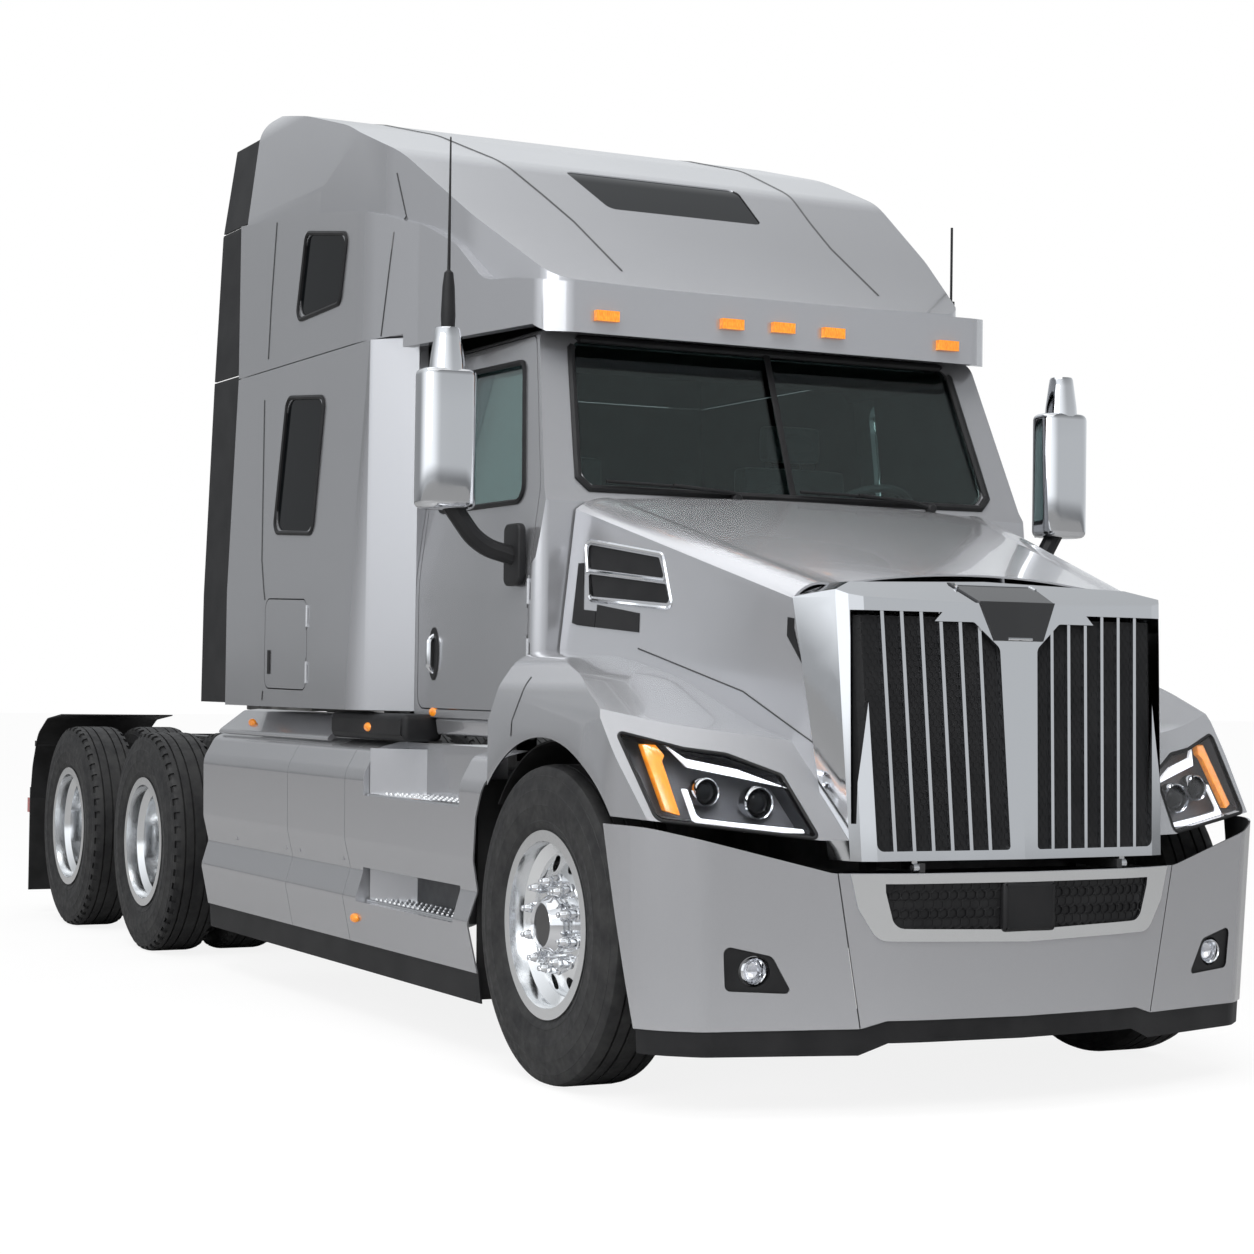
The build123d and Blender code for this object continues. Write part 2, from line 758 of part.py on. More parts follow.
# ---- mirrors: an arm from the door, a head and an antenna on the right one ----
mirror_x = 1320
mirror_y = at(1646)
arm_base = (cab_half, at(1600), 1770)
with BuildPart() as head:
    Box(216, 150, 500)
    fillet(head.edges().filter_by(Axis.Z), 62)
    fillet(head.faces().sort_by(Axis.Z)[0].edges(), 30)
    fillet(head.faces().sort_by(Axis.Z)[-1].edges(), 30)
mirror_head = head.part
for name, side in (("left", 1), ("right", -1)):
    with BuildPart() as mirror:
        foot = [
            (cab_half + seat_gap, 1660),
            (cab_half + seat_gap, cab_waist),
            (cab_side(1880) + seat_gap, 1880),
            (cab_half + 25, 1880),
            (cab_half + 45, 1840),
            (cab_half + 45, 1690),
            (cab_half + 25, 1660),
        ]
        prism_y([(side * x, z) for x, z in foot], arm_base[1] - 65, arm_base[1] + 65)
        bar((side * (cab_half + 40), arm_base[1], 1770), (side * 1200, at(1625), 1800), 38)
        bar((side * 1200, at(1625), 1800), (side * mirror_x, mirror_y, 1950), 38)
        with Locations((side * 1200, at(1625), 1800)):
            Sphere(38)
        add(mirror_head.moved(Location((side * mirror_x, mirror_y, 2167))))
        bar((side * mirror_x, mirror_y, 2410), (side * mirror_x, mirror_y, 2560), 62)
        if side < 0:
            bar((side * mirror_x, mirror_y, 2555), (side * mirror_x, mirror_y, 2760), 22)
            bar((side * mirror_x, mirror_y, 2755), (side * mirror_x, mirror_y, 3230), 6)
    save(mirror, f"mirror_{name}")

# ---- sleeper ----
def sleeper_solid(inset):
    """The sleeper's lower body, its sides leaning in towards the belt."""
    plan = [
        (cab_half - inset, sleeper_front - 10 if inset else sleeper_front),
        (sleeper_half - inset, sleeper_corner, 260),
        (sleeper_half - inset, sleeper_rear - inset),
    ]
    top = belt_height + (10 if inset else 0)
    front = [
        (sleeper_half + sleeper_lean * (sleeper_waist - sleeper_floor) - inset, sleeper_floor + inset),
        (sleeper_half - sleeper_lean * (top - sleeper_waist) - inset, top),
    ]
    with BuildPart() as form:
        prism_z(mirrored(plan), sleeper_floor, belt_height + 20)
        prism_y(mirrored(front), sleeper_front - 20, sleeper_rear + 20, mode=Mode.INTERSECT)
    return form.part


locker_outline = [
    (at(3290), 1275, 55),
    (at(3290), 1650, 55),
    (at(3810), 1665, 55),
    (at(3810), 1280, 55),
]
locker_hinges = [1350, 1580]
lower_window = [
    (at(3270), 1925, 80),
    (at(3210), 2465, 80),
    (at(3650), 2500, 80),
    (at(3725), 1950, 80),
]
sleeper_outer = sleeper_solid(0)
sleeper_inner = sleeper_solid(wall)
with BuildPart() as sleeper_shell:
    add(sleeper_outer)
    add(sleeper_inner, mode=Mode.SUBTRACT)
    for outline in (locker_outline, lower_window):
        opening = drawn(Plane.YZ.offset(-sleeper_half - 20), outline)
        extrude(opening, amount=2 * sleeper_half + 40, mode=Mode.SUBTRACT)
    for side in (-1, 1):
        for z in locker_hinges:
            hinge_fixed(side * sleeper_half, locker_outline[0][0], z)
save(sleeper_shell, "sleeper_shell")

for name, side in (("left", 1), ("right", -1)):
    low, high = sorted((side * 900, side * (sleeper_half + 20)))
    with BuildPart() as locker:
        add(sleeper_outer)
        add(sleeper_inner, mode=Mode.SUBTRACT)
        leaf = drawn(Plane.YZ.offset(low), locker_outline, -door_gap)
        extrude(leaf, amount=high - low, mode=Mode.INTERSECT)
        for z in locker_hinges:
            hinge_moving(side * sleeper_half, locker_outline[0][0], z)
    save(locker, f"locker_door_{name}")

# ---- roof: side band with the visor, and the raised cap ----
visor_front = at(1585)
band_low = belt_height + seam
upper_window = [
    (at(3075), 2845, 60),
    (at(3000), 3100, 70),
    (at(3465), 3170, 70),
    (at(3565), 2832, 70),
]


def roof_solid(inset):
    """The roof's outer form: a band that starts at the visor, with the cap above it."""
    plan = [
        (0, visor_front + inset),
        (870 - inset, visor_front + inset, 60),
        (960 - inset, at(1650) + inset, 120),
        (1020 - inset, at(2000), 900),
        (1100 - inset, at(2450), 900),
        (sleeper_top_half - inset, at(2830), 900),
        (sleeper_top_half - inset, sleeper_rear - inset),
        (0, sleeper_rear - inset),
    ]
    shoulder = [
        (visor_front - 20, 2500),
        (visor_front - 20, 2748 - inset),
        (at(1800), 2784 - inset, 300),
        (at(2010), 2800 - inset, 150),
        (at(2200), 2960 - inset, 220),
        (at(2400), 3052 - inset, 500),
        (at(2800), 3165 - inset, 900),
        (at(3500), 3262 - inset, 2000),
        (sleeper_rear + 20, 3338 - inset),
        (sleeper_rear + 20, 2500),
    ]
    cap_plan = [
        (0, at(1660)),
        (880 - inset, at(1700), 120),
        (1010 - inset, at(2150), 900),
        (1115 - inset, at(2750), 900),
        (1153 - inset, at(3400), 900),
        (1153 - inset, sleeper_rear - inset),
        (0, sleeper_rear - inset),
    ]
    cap_side = [
        (at(1660), 2500),
        (at(1660), 2755 - inset),
        (at(2335), 3180 - inset),
        (at(2655), 3385 - inset, 900),
        (at(3170), 3580 - inset, 1200),
        (at(3700), 3720 - inset, 1500),
        (sleeper_rear + 20, roof_height - inset),
        (sleeper_rear + 20, 2500),
    ]
    cap_front = [
        (1165 - inset, 2500),
        (1154 - inset, 3335, 600),
        (1088 - inset, roof_height - inset, 150),
    ]
    with BuildPart() as cap:
        prism_z(mirrored(cap_plan), band_low - 60, roof_height + 10)
        prism_x(cap_side, -sleeper_half, sleeper_half, mode=Mode.INTERSECT)
        prism_y(mirrored(cap_front), at(1500), sleeper_rear + 10, mode=Mode.INTERSECT)
    with BuildPart() as form:
        prism_z(mirrored(plan), 2560, roof_height + 10)
        prism_x(shoulder, -sleeper_half, sleeper_half, mode=Mode.INTERSECT)
        add(cap.part)
        underside = [
            (at(1400), 2500),
            (at(1400), 2560),
            (at(1640), 2575),
            (at(1700), cab_roof + 5),
            (sleeper_front - seam, cab_roof + 5),
            (sleeper_front - seam, band_low),
            (sleeper_rear + 20, band_low),
            (sleeper_rear + 20, 2500),
        ]
        prism_x(underside, -sleeper_half - 5, sleeper_half + 5, mode=Mode.SUBTRACT)
    return form.part


skylight = [(344, at(2335), 40), (400, at(2655), 40)]
with BuildPart() as roof_cap:
    add(roof_solid(0))
    add(roof_solid(wall).moved(Location((0, 0, -1))), mode=Mode.SUBTRACT)
    opening = drawn(Plane.YZ.offset(-sleeper_half - 20), upper_window)
    extrude(opening, amount=2 * sleeper_half + 40, mode=Mode.SUBTRACT)
    prism_z(mirrored(skylight), 3000, 3500, mode=Mode.SUBTRACT)
save(roof_cap, "roof_cap")

antenna_foot = (989, at(1930))
with BuildPart() as roof_antenna:
    bar((*antenna_foot, 2780), (*antenna_foot, 2870), 14)
    bar((*antenna_foot, 2860), (*antenna_foot, 3168), 5)
    add(roof_solid(-seat_gap), mode=Mode.SUBTRACT)
save(roof_antenna, "roof_antenna")

# ---- glass of the sleeper and the roof ----
glass_recess = 5
with BuildPart() as lower_panes:
    add(sleeper_solid(glass_recess))
    add(sleeper_solid(glass_recess + glass_wall), mode=Mode.SUBTRACT)
    pane = drawn(Plane.YZ.offset(-sleeper_half - 20), lower_window, -seat_gap)
    extrude(pane, amount=2 * sleeper_half + 40, mode=Mode.INTERSECT)
with BuildPart() as roof_skin:
    add(roof_solid(glass_recess))
    add(roof_solid(glass_recess + glass_wall).moved(Location((0, 0, -1))), mode=Mode.SUBTRACT)
with BuildPart() as upper_panes:
    add(roof_skin.part)
    pane = drawn(Plane.YZ.offset(-sleeper_half - 20), upper_window, -seat_gap)
    extrude(pane, amount=2 * sleeper_half + 40, mode=Mode.INTERSECT)
with BuildPart() as skylight_pane:
    add(roof_skin.part)
    pane = drawn(Plane.XY.offset(3000), mirrored(skylight), -seat_gap)
    extrude(pane, amount=500, mode=Mode.INTERSECT)
with BuildPart() as sleeper_glass:
    add(lower_panes.part)
    add(upper_panes.part)
    add(skylight_pane.part)
save(sleeper_glass, "sleeper_glass")

# ---- marker lamps on the visor ----
marker_places = [(0, 2648), (218, 2645), (732, 2635)]  # x and z of their middles
marker_half, marker_reach, marker_rise = 46, 22, 19
with BuildPart() as marker_lamps:
    for x, z in marker_places:
        for side in (-1, 1) if x else (1,):
            box(
                (side * x - marker_half, visor_front - marker_reach, z - marker_rise),
                (side * x + marker_half, visor_front, z + marker_rise),
            )
save(marker_lamps, "marker_lamps")

# ---- hood: a lofted nose between two fenders, all one shell ----
hood_front = at(200)
hood_rear = at(1450)
arch_radius = 615
lamp_corner = (690, at(147), 849)  # inner bottom corner of a headlamp
lamp_slope = 0.35  # how fast the fender's front face runs back, outwards
lamp_lean = 0.75  # and upwards
# station, half width and height at the foot, the side's top, its rounded shoulder and the crown
hood_sections = [
    (hood_front, (595, 790), (665, 1560), (625, 1598), (525, 1608), 1658),
    (hood_rear, (1000, 1090), (905, 1930), (850, 1963), (745, 1973), 1996),
]


def hood_nose(inset):
    """The hood between its fenders, drawn in by an inset."""
    with BuildPart() as form:
        faces = []
        for y, foot, side, bulge, shoulder, crown in hood_sections:
            foot, side = (foot[0] - inset, foot[1] - 5 * bool(inset)), (side[0] - inset, side[1] - inset)
            bulge, shoulder = (bulge[0] - inset, bulge[1] - inset), (shoulder[0], shoulder[1] - inset)
            with BuildSketch(Plane.XZ.offset(-y)) as section:
                with BuildLine():
                    Polyline(side, foot, (-foot[0], foot[1]), (-side[0], side[1]))
                    ThreePointArc((-side[0], side[1]), (-bulge[0], bulge[1]), (-shoulder[0], shoulder[1]))
                    ThreePointArc((-shoulder[0], shoulder[1]), (0, crown - inset), shoulder)
                    ThreePointArc(shoulder, bulge, side)
                make_face()
            faces.append(section.sketch.face())
        loft(faces, ruled=True)
    return form.part


def lamp_plane(inset):
    """The plane of a left fender's front face, drawn back by an inset."""
    normal = Vector(lamp_slope, -1, lamp_lean).normalized()
    return Plane(origin=Vector(*lamp_corner) - normal * inset, z_dir=normal)


def fender(inset):
    """A left fender's outer form, drawn in by an inset."""
    low = 842 - 5 * bool(inset)
    crest = [
        (at(60), low),
        (at(60), 1060 - inset),
        (at(520), 1195 - inset, 600),
        (at(854), 1345 - inset, 600),
        (at(1150), 1415 - inset, 600),
        (hood_rear + 20, 1435 - inset),
        (hood_rear + 20, low),
    ]
    plan = [
        (540, at(0)),
        (900, at(100)),
        (1165 - inset, at(300) + inset, 150),
        (1215 - inset, at(520) + inset, 400),
        (body_half - inset, at(720), 600),
        (body_half - inset, hood_rear + 10),
        (540, hood_rear + 10),
    ]
    front = [
        (540, low),
        (540, 1480 - inset),
        (900, 1470 - inset, 400),
        (1120 - inset, 1405 - inset, 130),
        (1190 - inset, 1310 - inset, 130),
        (1190 + (1310 - low) / 3 - inset, low),
    ]
    with BuildPart() as form:
        prism_x(crest, 540, body_half + 20)
        prism_z(plan, low, 1500, mode=Mode.INTERSECT)
        prism_y(front, at(0), hood_rear + 5 * bool(inset), mode=Mode.INTERSECT)
        split(bisect_by=lamp_plane(inset), keep=Keep.BOTTOM)
    return form.part


lamp_outline = [
    (690, 852, 14),
    (1150, 905, 25),
    (1185, 1172, 14),
    (1000, 1120, 60),
    (880, 1104, 60),
    (735, 1042, 14),
]
fender_sill = [(590, 700), (1300, 700), (1300, 918), (690, 848), (590, 848)]
lamp_depth = 150
lens_wall = 5
lens_gap = 2


def surround_form(inset):
    """The grille surround's outer form between two plan sections, drawn in by an inset."""
    lower = [(0, 35), (530, 68), (578, 84), (602, 112), (622, 205)]
    upper = [(0, 85), (560, 120), (604, 138), (630, 172), (690, 328)]
    faces = []
    for outline, z in ((lower, 785 + 0.5 * abs(inset)), (upper, 1600)):
        points = [(x - inset * (x > 560), at(y) + inset) for x, y in outline]
        points.append((0, at(outline[-1][1]) + inset))
        with BuildSketch(Plane.XY.offset(z)) as section:
            with BuildLine():
                Polyline(*mirrored(points), close=True)
            make_face()
        faces.append(section.sketch.face())
    slope = [
        (at(-100), 700),
        (at(-100), 1592 - inset),
        (at(95), 1592 - inset),
        (at(400), 1720 - inset),
        (at(400), 700),
    ]
    crown = [(720, 700), (720, 1590 - inset), (650, 1618 - inset), (540, 1652 - inset), (0, 1668 - inset)]
    with BuildPart() as form:
        loft(faces, ruled=True)
        extrude(faces[1], amount=90)
        prism_x(slope, -750, 750, mode=Mode.INTERSECT)
        prism_y(mirrored(crown), at(-50), at(400), mode=Mode.INTERSECT)
    return form.part


# station and z of the two openings of a hood's side vent and of the mesh behind them
vents = [
    [(1362, 1803, 14), (988, 1746, 14), (957, 1676, 8), (1350, 1718, 8)],
    [(1345, 1700, 8), (948, 1656, 8), (922, 1590, 14), (1331, 1622, 14)],
]
vent_mesh_line = [(1385, 1825), (965, 1765), (900, 1568), (1310, 1602)]
nose_outer, nose_inner = hood_nose(0), hood_nose(panel)
fender_outer, fender_inner = fender(0), fender(panel)
surround_wall = 25
surround_outer = surround_form(0)
nose_cut = [(at(-50), 1180), (at(265), 1180), (at(328), 1600), (at(328), 1720), (at(-50), 1720)]
with BuildPart() as hood:
    add(nose_outer)
    add(fender_outer)
    add(fender_outer.mirror(Plane.YZ))
    for tool in (nose_inner, fender_inner, fender_inner.mirror(Plane.YZ)):
        add(tool, mode=Mode.SUBTRACT)
    box((-560, at(-50), 700), (560, hood_front + 40, 1590), mode=Mode.SUBTRACT)
    box((-900, hood_rear - 10, 1000), (900, hood_rear + 10, 1900), mode=Mode.SUBTRACT)
    arch_start, arch_end = (-1300, front_axle_y, axle_height), (1300, front_axle_y, axle_height)
    bar(arch_start, arch_end, arch_radius, mode=Mode.SUBTRACT)
    add(surround_outer, mode=Mode.SUBTRACT)
    add(surround_form(-seat_gap), mode=Mode.SUBTRACT)
    prism_x(nose_cut, -720, 720, mode=Mode.SUBTRACT)
    for side in (-1, 1):
        prism_y([(side * x, *rest) for x, *rest in lamp_outline], at(0), at(900), mode=Mode.SUBTRACT)
        prism_y([(side * x, z) for x, z in fender_sill], at(0), at(640), mode=Mode.SUBTRACT)
    for vent in vents:
        prism_x([(at(station), *rest) for station, *rest in vent], -1100, 1100, mode=Mode.SUBTRACT)
save(hood, "hood")

# ---- headlamps ----
lamp_front = Plane.XZ.offset(-at(0))
with BuildPart() as lens:
    add(fender_outer)
    add(fender(lens_wall), mode=Mode.SUBTRACT)
    extrude(drawn(lamp_front, lamp_outline, -lens_gap), amount=-900, mode=Mode.INTERSECT)
with BuildPart() as headlamp_lenses:
    add(lens.part)
    add(lens.part.mirror(Plane.YZ))
save(headlamp_lenses, "headlamp_lenses")
tyre_swing = 560  # what a steered tyre sweeps about its kingpin at the lamps' height
with BuildPart() as housing:
    add(fender(lens_wall))
    extrude(drawn(lamp_front, lamp_outline, -seat_gap), amount=-900, mode=Mode.INTERSECT)
    split(bisect_by=lamp_plane(lamp_depth), keep=Keep.TOP)
    sweep_low, sweep_high = (kingpin_half, front_axle_y, 800), (kingpin_half, front_axle_y, 1300)
    bar(sweep_low, sweep_high, tyre_swing, mode=Mode.SUBTRACT)
with BuildPart() as headlamp_housings:
    add(housing.part)
    add(housing.part.mirror(Plane.YZ))
save(headlamp_housings, "headlamp_housings")

# ---- grille: surround with its bars, mesh and badge plate ----
opening = [(52, 815, 12), (530, 815, 25), (561, 1531, 45), (165, 1531, 20), (72, 1450, 30)]
bar_count = 6
bar_half = 6
with BuildPart() as bars:
    add(surround_form(8))
    add(surround_form(surround_wall - 1), mode=Mode.SUBTRACT)
with BuildPart() as slats:
    for side in (-1, 1):
        for step in range(1, bar_count + 1):
            share = step / (bar_count + 1)
            foot = side * (52 + share * (530 - 52))
            head = side * (72 + share * (561 - 72))
            slat = [
                (foot - bar_half, 800),
                (foot + bar_half, 800),
                (head + bar_half, 1560),
                (head - bar_half, 1560),
            ]
            prism_y(slat, at(0), at(200))
    add(bars.part, mode=Mode.INTERSECT)
with BuildPart() as grille_surround:
    add(surround_outer)
    add(surround_form(surround_wall), mode=Mode.SUBTRACT)
    box((-600, at(100), 900), (600, at(400), 1560), mode=Mode.SUBTRACT)
    for side in (-1, 1):
        prism_y([(side * x, *rest) for x, *rest in opening], at(-50), at(400), mode=Mode.SUBTRACT)
    add(slats.part)
    pivot_y, pivot_z = hood_pivot
    for side in (-1, 1):
        near = side * (hood_bracket_half + seat_gap)
        inner, outer = sorted((near, near + side * hood_bracket_wall))
        box((inner, pivot_y, pivot_z - 14), (outer, pivot_y + 60, 787))
        bar((inner, pivot_y, pivot_z), (outer, pivot_y, pivot_z), 14)
        hole = hood_pin + pin_gap
        bar((inner - 1, pivot_y, pivot_z), (outer + 1, pivot_y, pivot_z), hole, mode=Mode.SUBTRACT)
save(grille_surround, "grille_surround")

mesh_wall = 5
with BuildPart() as grille_mesh:
    add(surround_form(surround_wall + seat_gap))
    add(surround_form(surround_wall + seat_gap + mesh_wall), mode=Mode.SUBTRACT)
    box((-575, at(0), 812), (575, at(165), 1545), mode=Mode.INTERSECT)
with BuildPart() as side_meshes:
    add(hood_nose(panel + seat_gap))
    add(hood_nose(panel + seat_gap + mesh_wall), mode=Mode.SUBTRACT)
    prism_x([(at(station), z) for station, z in vent_mesh_line], -1100, 1100, mode=Mode.INTERSECT)
with BuildPart() as meshes:
    add(grille_mesh.part)
    add(side_meshes.part)
save(meshes, "grille_mesh")

badge_outline = [(157, 1661), (145, 1597), (93, 1474)]
badge_wall = 6
with BuildPart() as badge_plate:
    add(surround_form(-badge_wall))
    add(surround_outer, mode=Mode.SUBTRACT)
    prism_y(mirrored(badge_outline), at(-50), at(325), mode=Mode.INTERSECT)
save(badge_plate, "badge_plate")

# ---- bumper: three painted panels, trim, lower grille, fog lamps and valance ----
bumper_high = 890
bumper_taper = 3  # degrees that its faces lean in, downwards
# x, station and corner radius of the left half
bumper_plan = [
    (0, 0),
    (430, 34, 900),
    (680, 112, 900),
    (1050, 220, 160),
    (1185, 335, 300),
    (1238, 480, 400),
    (1238, 700),
]
bumper_edge = [(at(-60), 100), (at(-60), 1000), (at(567), 1000), (at(425), 250), (at(425), 100)]
bumper_face = [
    (0, 292),
    (480, 292, 40),
    (560, 268, 40),
    (1170, 262),
    (1300, 250),
    (1300, 886),
    (1200, 886, 300),
    (660, 748, 120),
    (0, 748),
]
bumper_seam = [(656, 800), (548, 200)]


def bumper_form(inset):
    """The bumper's outer form drawn in by an inset, its faces leaning back towards the road."""
    with BuildPart() as form:
        left = [(x, at(station), *corner) for x, station, *corner in bumper_plan]
        plan = drawn(Plane.XY.offset(bumper_high), mirrored(left), -inset)
        extrude(plan, amount=-(bumper_high - 100), taper=bumper_taper)
        prism_x(bumper_edge, -body_half - 60, body_half + 60, mode=Mode.INTERSECT)
    return form.part


bumper_outer = bumper_form(0)
lower_opening = [(505, 716), (503, 690, 20), (471, 578, 45), (0, 566)]
fog_outline = [(985, 528, 20), (835, 494, 30), (770, 378, 12), (975, 388, 20)]
with BuildPart() as bumper:
    add(bumper_outer)
    add(bumper_form(panel), mode=Mode.SUBTRACT)
    prism_y(mirrored(bumper_face), at(-60), at(700), mode=Mode.INTERSECT)
    prism_y(mirrored([(0, 716), *lower_opening]), at(-60), at(260), mode=Mode.SUBTRACT)
    for side in (-1, 1):
        high, low = bumper_seam
        cut = [
            (side * (high[0] - seam / 2), high[1]),
            (side * (high[0] + seam / 2), high[1]),
            (side * (low[0] + seam / 2), low[1]),
            (side * (low[0] - seam / 2), low[1]),
        ]
        prism_y(cut, at(-60), at(400), mode=Mode.SUBTRACT)
        prism_y([(side * x, z, r) for x, z, r in fog_outline], at(-60), at(500), mode=Mode.SUBTRACT)
save(bumper, "bumper")

trim_outer = [(612, 747), (585, 640, 60), (521, 540, 60), (0, 528)]
trim_wall = 7
with BuildPart() as bumper_trim:
    add(bumper_form(-trim_wall))
    add(bumper_outer, mode=Mode.SUBTRACT)
    prism_y(mirrored([(0, 747), *trim_outer]), at(-60), at(300), mode=Mode.INTERSECT)
    prism_y(mirrored([(0, 716), *lower_opening]), at(-60), at(300), mode=Mode.SUBTRACT)
save(bumper_trim, "bumper_trim")

bumper_inner = bumper_form(panel + seat_gap)
sensor_low, sensor_high = (-74, at(14), 582), (74, at(36), 694)
with BuildPart() as lower_grille:
    add(bumper_inner)
    add(bumper_form(panel + 6), mode=Mode.SUBTRACT)
    prism_y(mirrored([(0, 728), (530, 728), (495, 560), (0, 552)]), at(-60), at(300), mode=Mode.INTERSECT)
    box(sensor_low, sensor_high)
save(lower_grille, "lower_grille")

fog_front, fog_back = (885, at(-60), 448), (885, at(600), 448)
fog_radius = 48
fog_depth = 34
bumper_core = bumper_form(panel + fog_depth)
with BuildPart() as fog_bezel:
    add(bumper_inner)
    add(bumper_core, mode=Mode.SUBTRACT)
    prism_y([(1010, 545), (820, 508), (745, 362), (1000, 372)], at(-60), at(600), mode=Mode.INTERSECT)
    bar(fog_front, fog_back, fog_radius, mode=Mode.SUBTRACT)
with BuildPart() as fog_lamp:
    add(bumper_form(panel + 10))
    add(bumper_core, mode=Mode.SUBTRACT)
    bar(fog_front, fog_back, fog_radius - seat_gap, mode=Mode.INTERSECT)
with BuildPart() as fog_lamps:
    add(fog_lamp.part)
    add(fog_lamp.part.mirror(Plane.YZ))
save(fog_lamps, "fog_lamps")

valance_low = 185
valance_face = [(0, 222), (470, 222), (560, valance_low), (1300, valance_low), (1300, 330), (0, 330)]
shelf_low, shelf_high = 730, 736
carrier_low, carrier_high = 400, 500
with BuildPart() as valance_lip:
    add(bumper_inner)
    add(bumper_form(2 * panel + seat_gap), mode=Mode.SUBTRACT)
    prism_y(mirrored(valance_face), at(-60), at(700), mode=Mode.INTERSECT)
with BuildPart() as bumper_beam:
    add(bumper_form(panel + 6 + seat_gap))
    box((-rail_half, at(-60), carrier_low), (rail_half, rail_front, carrier_high), mode=Mode.INTERSECT)
with BuildPart() as bumper_shelf:
    add(bumper_inner)
    box((-640, at(-60), shelf_low), (640, rail_front, shelf_high), mode=Mode.INTERSECT)
with BuildPart() as bumper_valance:
    add(valance_lip.part)
    add(bumper_beam.part)
    add(bumper_shelf.part)
    for side in (-1, 1):
        inner, outer = sorted((side * (hood_bracket_half + 2), side * rail_half))
        box((inner, rail_front - 40, carrier_low), (outer, rail_front, rail_bottom + 90))
    add(fog_bezel.part)
    add(fog_bezel.part.mirror(Plane.YZ))
save(bumper_valance, "bumper_valance")

# ---- side fairings: three panels a side with two steps, over a dark skirt ----
fairing_wall = 6
fairing_line = [
    (1192, fairing_bottom),
    (1228, 480, 60),
    (1196, 590, 40),
    (1222, 700, 120),
    (1226, 960, 110),
    (1170, 1062, 60),
    (1080, fairing_top),
]
fairing_seams = [2820, 3480]
fairing_nose = [
    (at(1430), 1100),
    (at(1560), 850),
    (at(1612), 470),
    (at(1590), 185),
    (fairing_rear, 185),
    (fairing_rear, 1100),
]
step_back = 1040
# front and rear stations, tread and top of each step's recess; the upper one is open at its top
steps = [(1740, 2680, 470, 600), (1700, 2620, 880, 1100)]


def fairing_panel(line):
    """A left side panel with this front outline, from the front wheel back to the rear."""
    inner = [(point[0] - fairing_wall, *point[1:]) for point in reversed(line)]
    with BuildPart() as form:
        prism_y([*line, *inner], at(1400), fairing_rear)
        prism_x(fairing_nose, 900, 1300, mode=Mode.INTERSECT)
    return form.part


with BuildPart() as fairing_skin:
    add(fairing_panel(fairing_line))
    for front, rear, low, high in steps:
        box((1000, at(front), low), (1300, at(rear), high), mode=Mode.SUBTRACT)
with BuildPart() as step_recesses:
    for front, rear, low, high in steps:
        box((step_back, at(front) - panel, low - panel), (1300, at(rear) + panel, high + panel))
    behind = [(step_back, fairing_bottom), *fairing_line, (step_back, fairing_top)]
    prism_y(behind, at(1400), fairing_rear, mode=Mode.INTERSECT)
    for front, rear, low, high in steps:
        box((step_back + panel, at(front), low), (1300, at(rear), high), mode=Mode.SUBTRACT)
box_half = 880  # outer face of the chassis boxes
with BuildPart() as fairing:
    add(fairing_skin.part)
    add(step_recesses.part)
    for station in (1980, 2450):
        box((box_half, at(station) - 20, 500), (step_back + 1, at(station) + 20, 540))
    for station in (2900, 3400, 3560, 4200):
        box((tank_half + tank_radius, at(station) - 30, 615), (1206, at(station) + 30, 665))
    for station in fairing_seams:
        y = at(station)
        box((step_back, y - seam / 2, 180), (1300, y + seam / 2, 1200), mode=Mode.SUBTRACT)
with BuildPart() as side_fairings:
    add(fairing.part)
    add(fairing.part.mirror(Plane.YZ))
save(side_fairings, "side_fairings")

skirt_line = [(1178, skirt_bottom), (1185.7, fairing_bottom), (1191.5, fairing_bottom + 30)]
with BuildPart() as side_skirts:
    skirt = fairing_panel(skirt_line)
    add(skirt)
    add(skirt.mirror(Plane.YZ))
save(side_skirts, "side_skirts")

# ---- side extenders behind the sleeper ----
extender_line = [(1220, 1215), (1216, 1700), (1182, 2650), (1152, 3335), (1092, 3740)]
extender_wall = 12
extender_seams = [2670, 3350]
with BuildPart() as extender:
    inner = [(x - extender_wall, z) for x, z in reversed(extender_line)]
    prism_y([*extender_line, *inner], sleeper_rear, sleeper_rear + extender_depth)
    for z in extender_seams:
        box((900, sleeper_rear - 10, z - seam), (1300, at(4750), z + seam), mode=Mode.SUBTRACT)
with BuildPart() as cab_extenders:
    add(extender.part)
    add(extender.part.mirror(Plane.YZ))
save(cab_extenders, "cab_extenders")

# ---- inside of the cab and the sleeper ----
wheel_middle = (560, at(1905), 1960)
column_lean = (0, 0.62, 0.78)  # from the dash towards the driver
wheel_radius = 205
wheel_hub_half = 20
with BuildPart() as dash:
    outline = [
        (cab_front + wall, 1500),
        (cab_front + wall, 1900),
        (at(1560), 1950),
        (at(1760), 1940),
        (at(1860), 1860),
        (at(1840), 1640),
        (at(1700), 1560),
    ]
    prism_x(outline, -940, 940)
    top = Vector(*wheel_middle) - Vector(*column_lean).normalized() * (wheel_hub_half + seat_gap)
    bar(top - Vector(*column_lean) * 180, top, 35)
    box((-60, at(1700), cab_floor + wall), (60, at(1800), 1600))
save(dash, "dash")

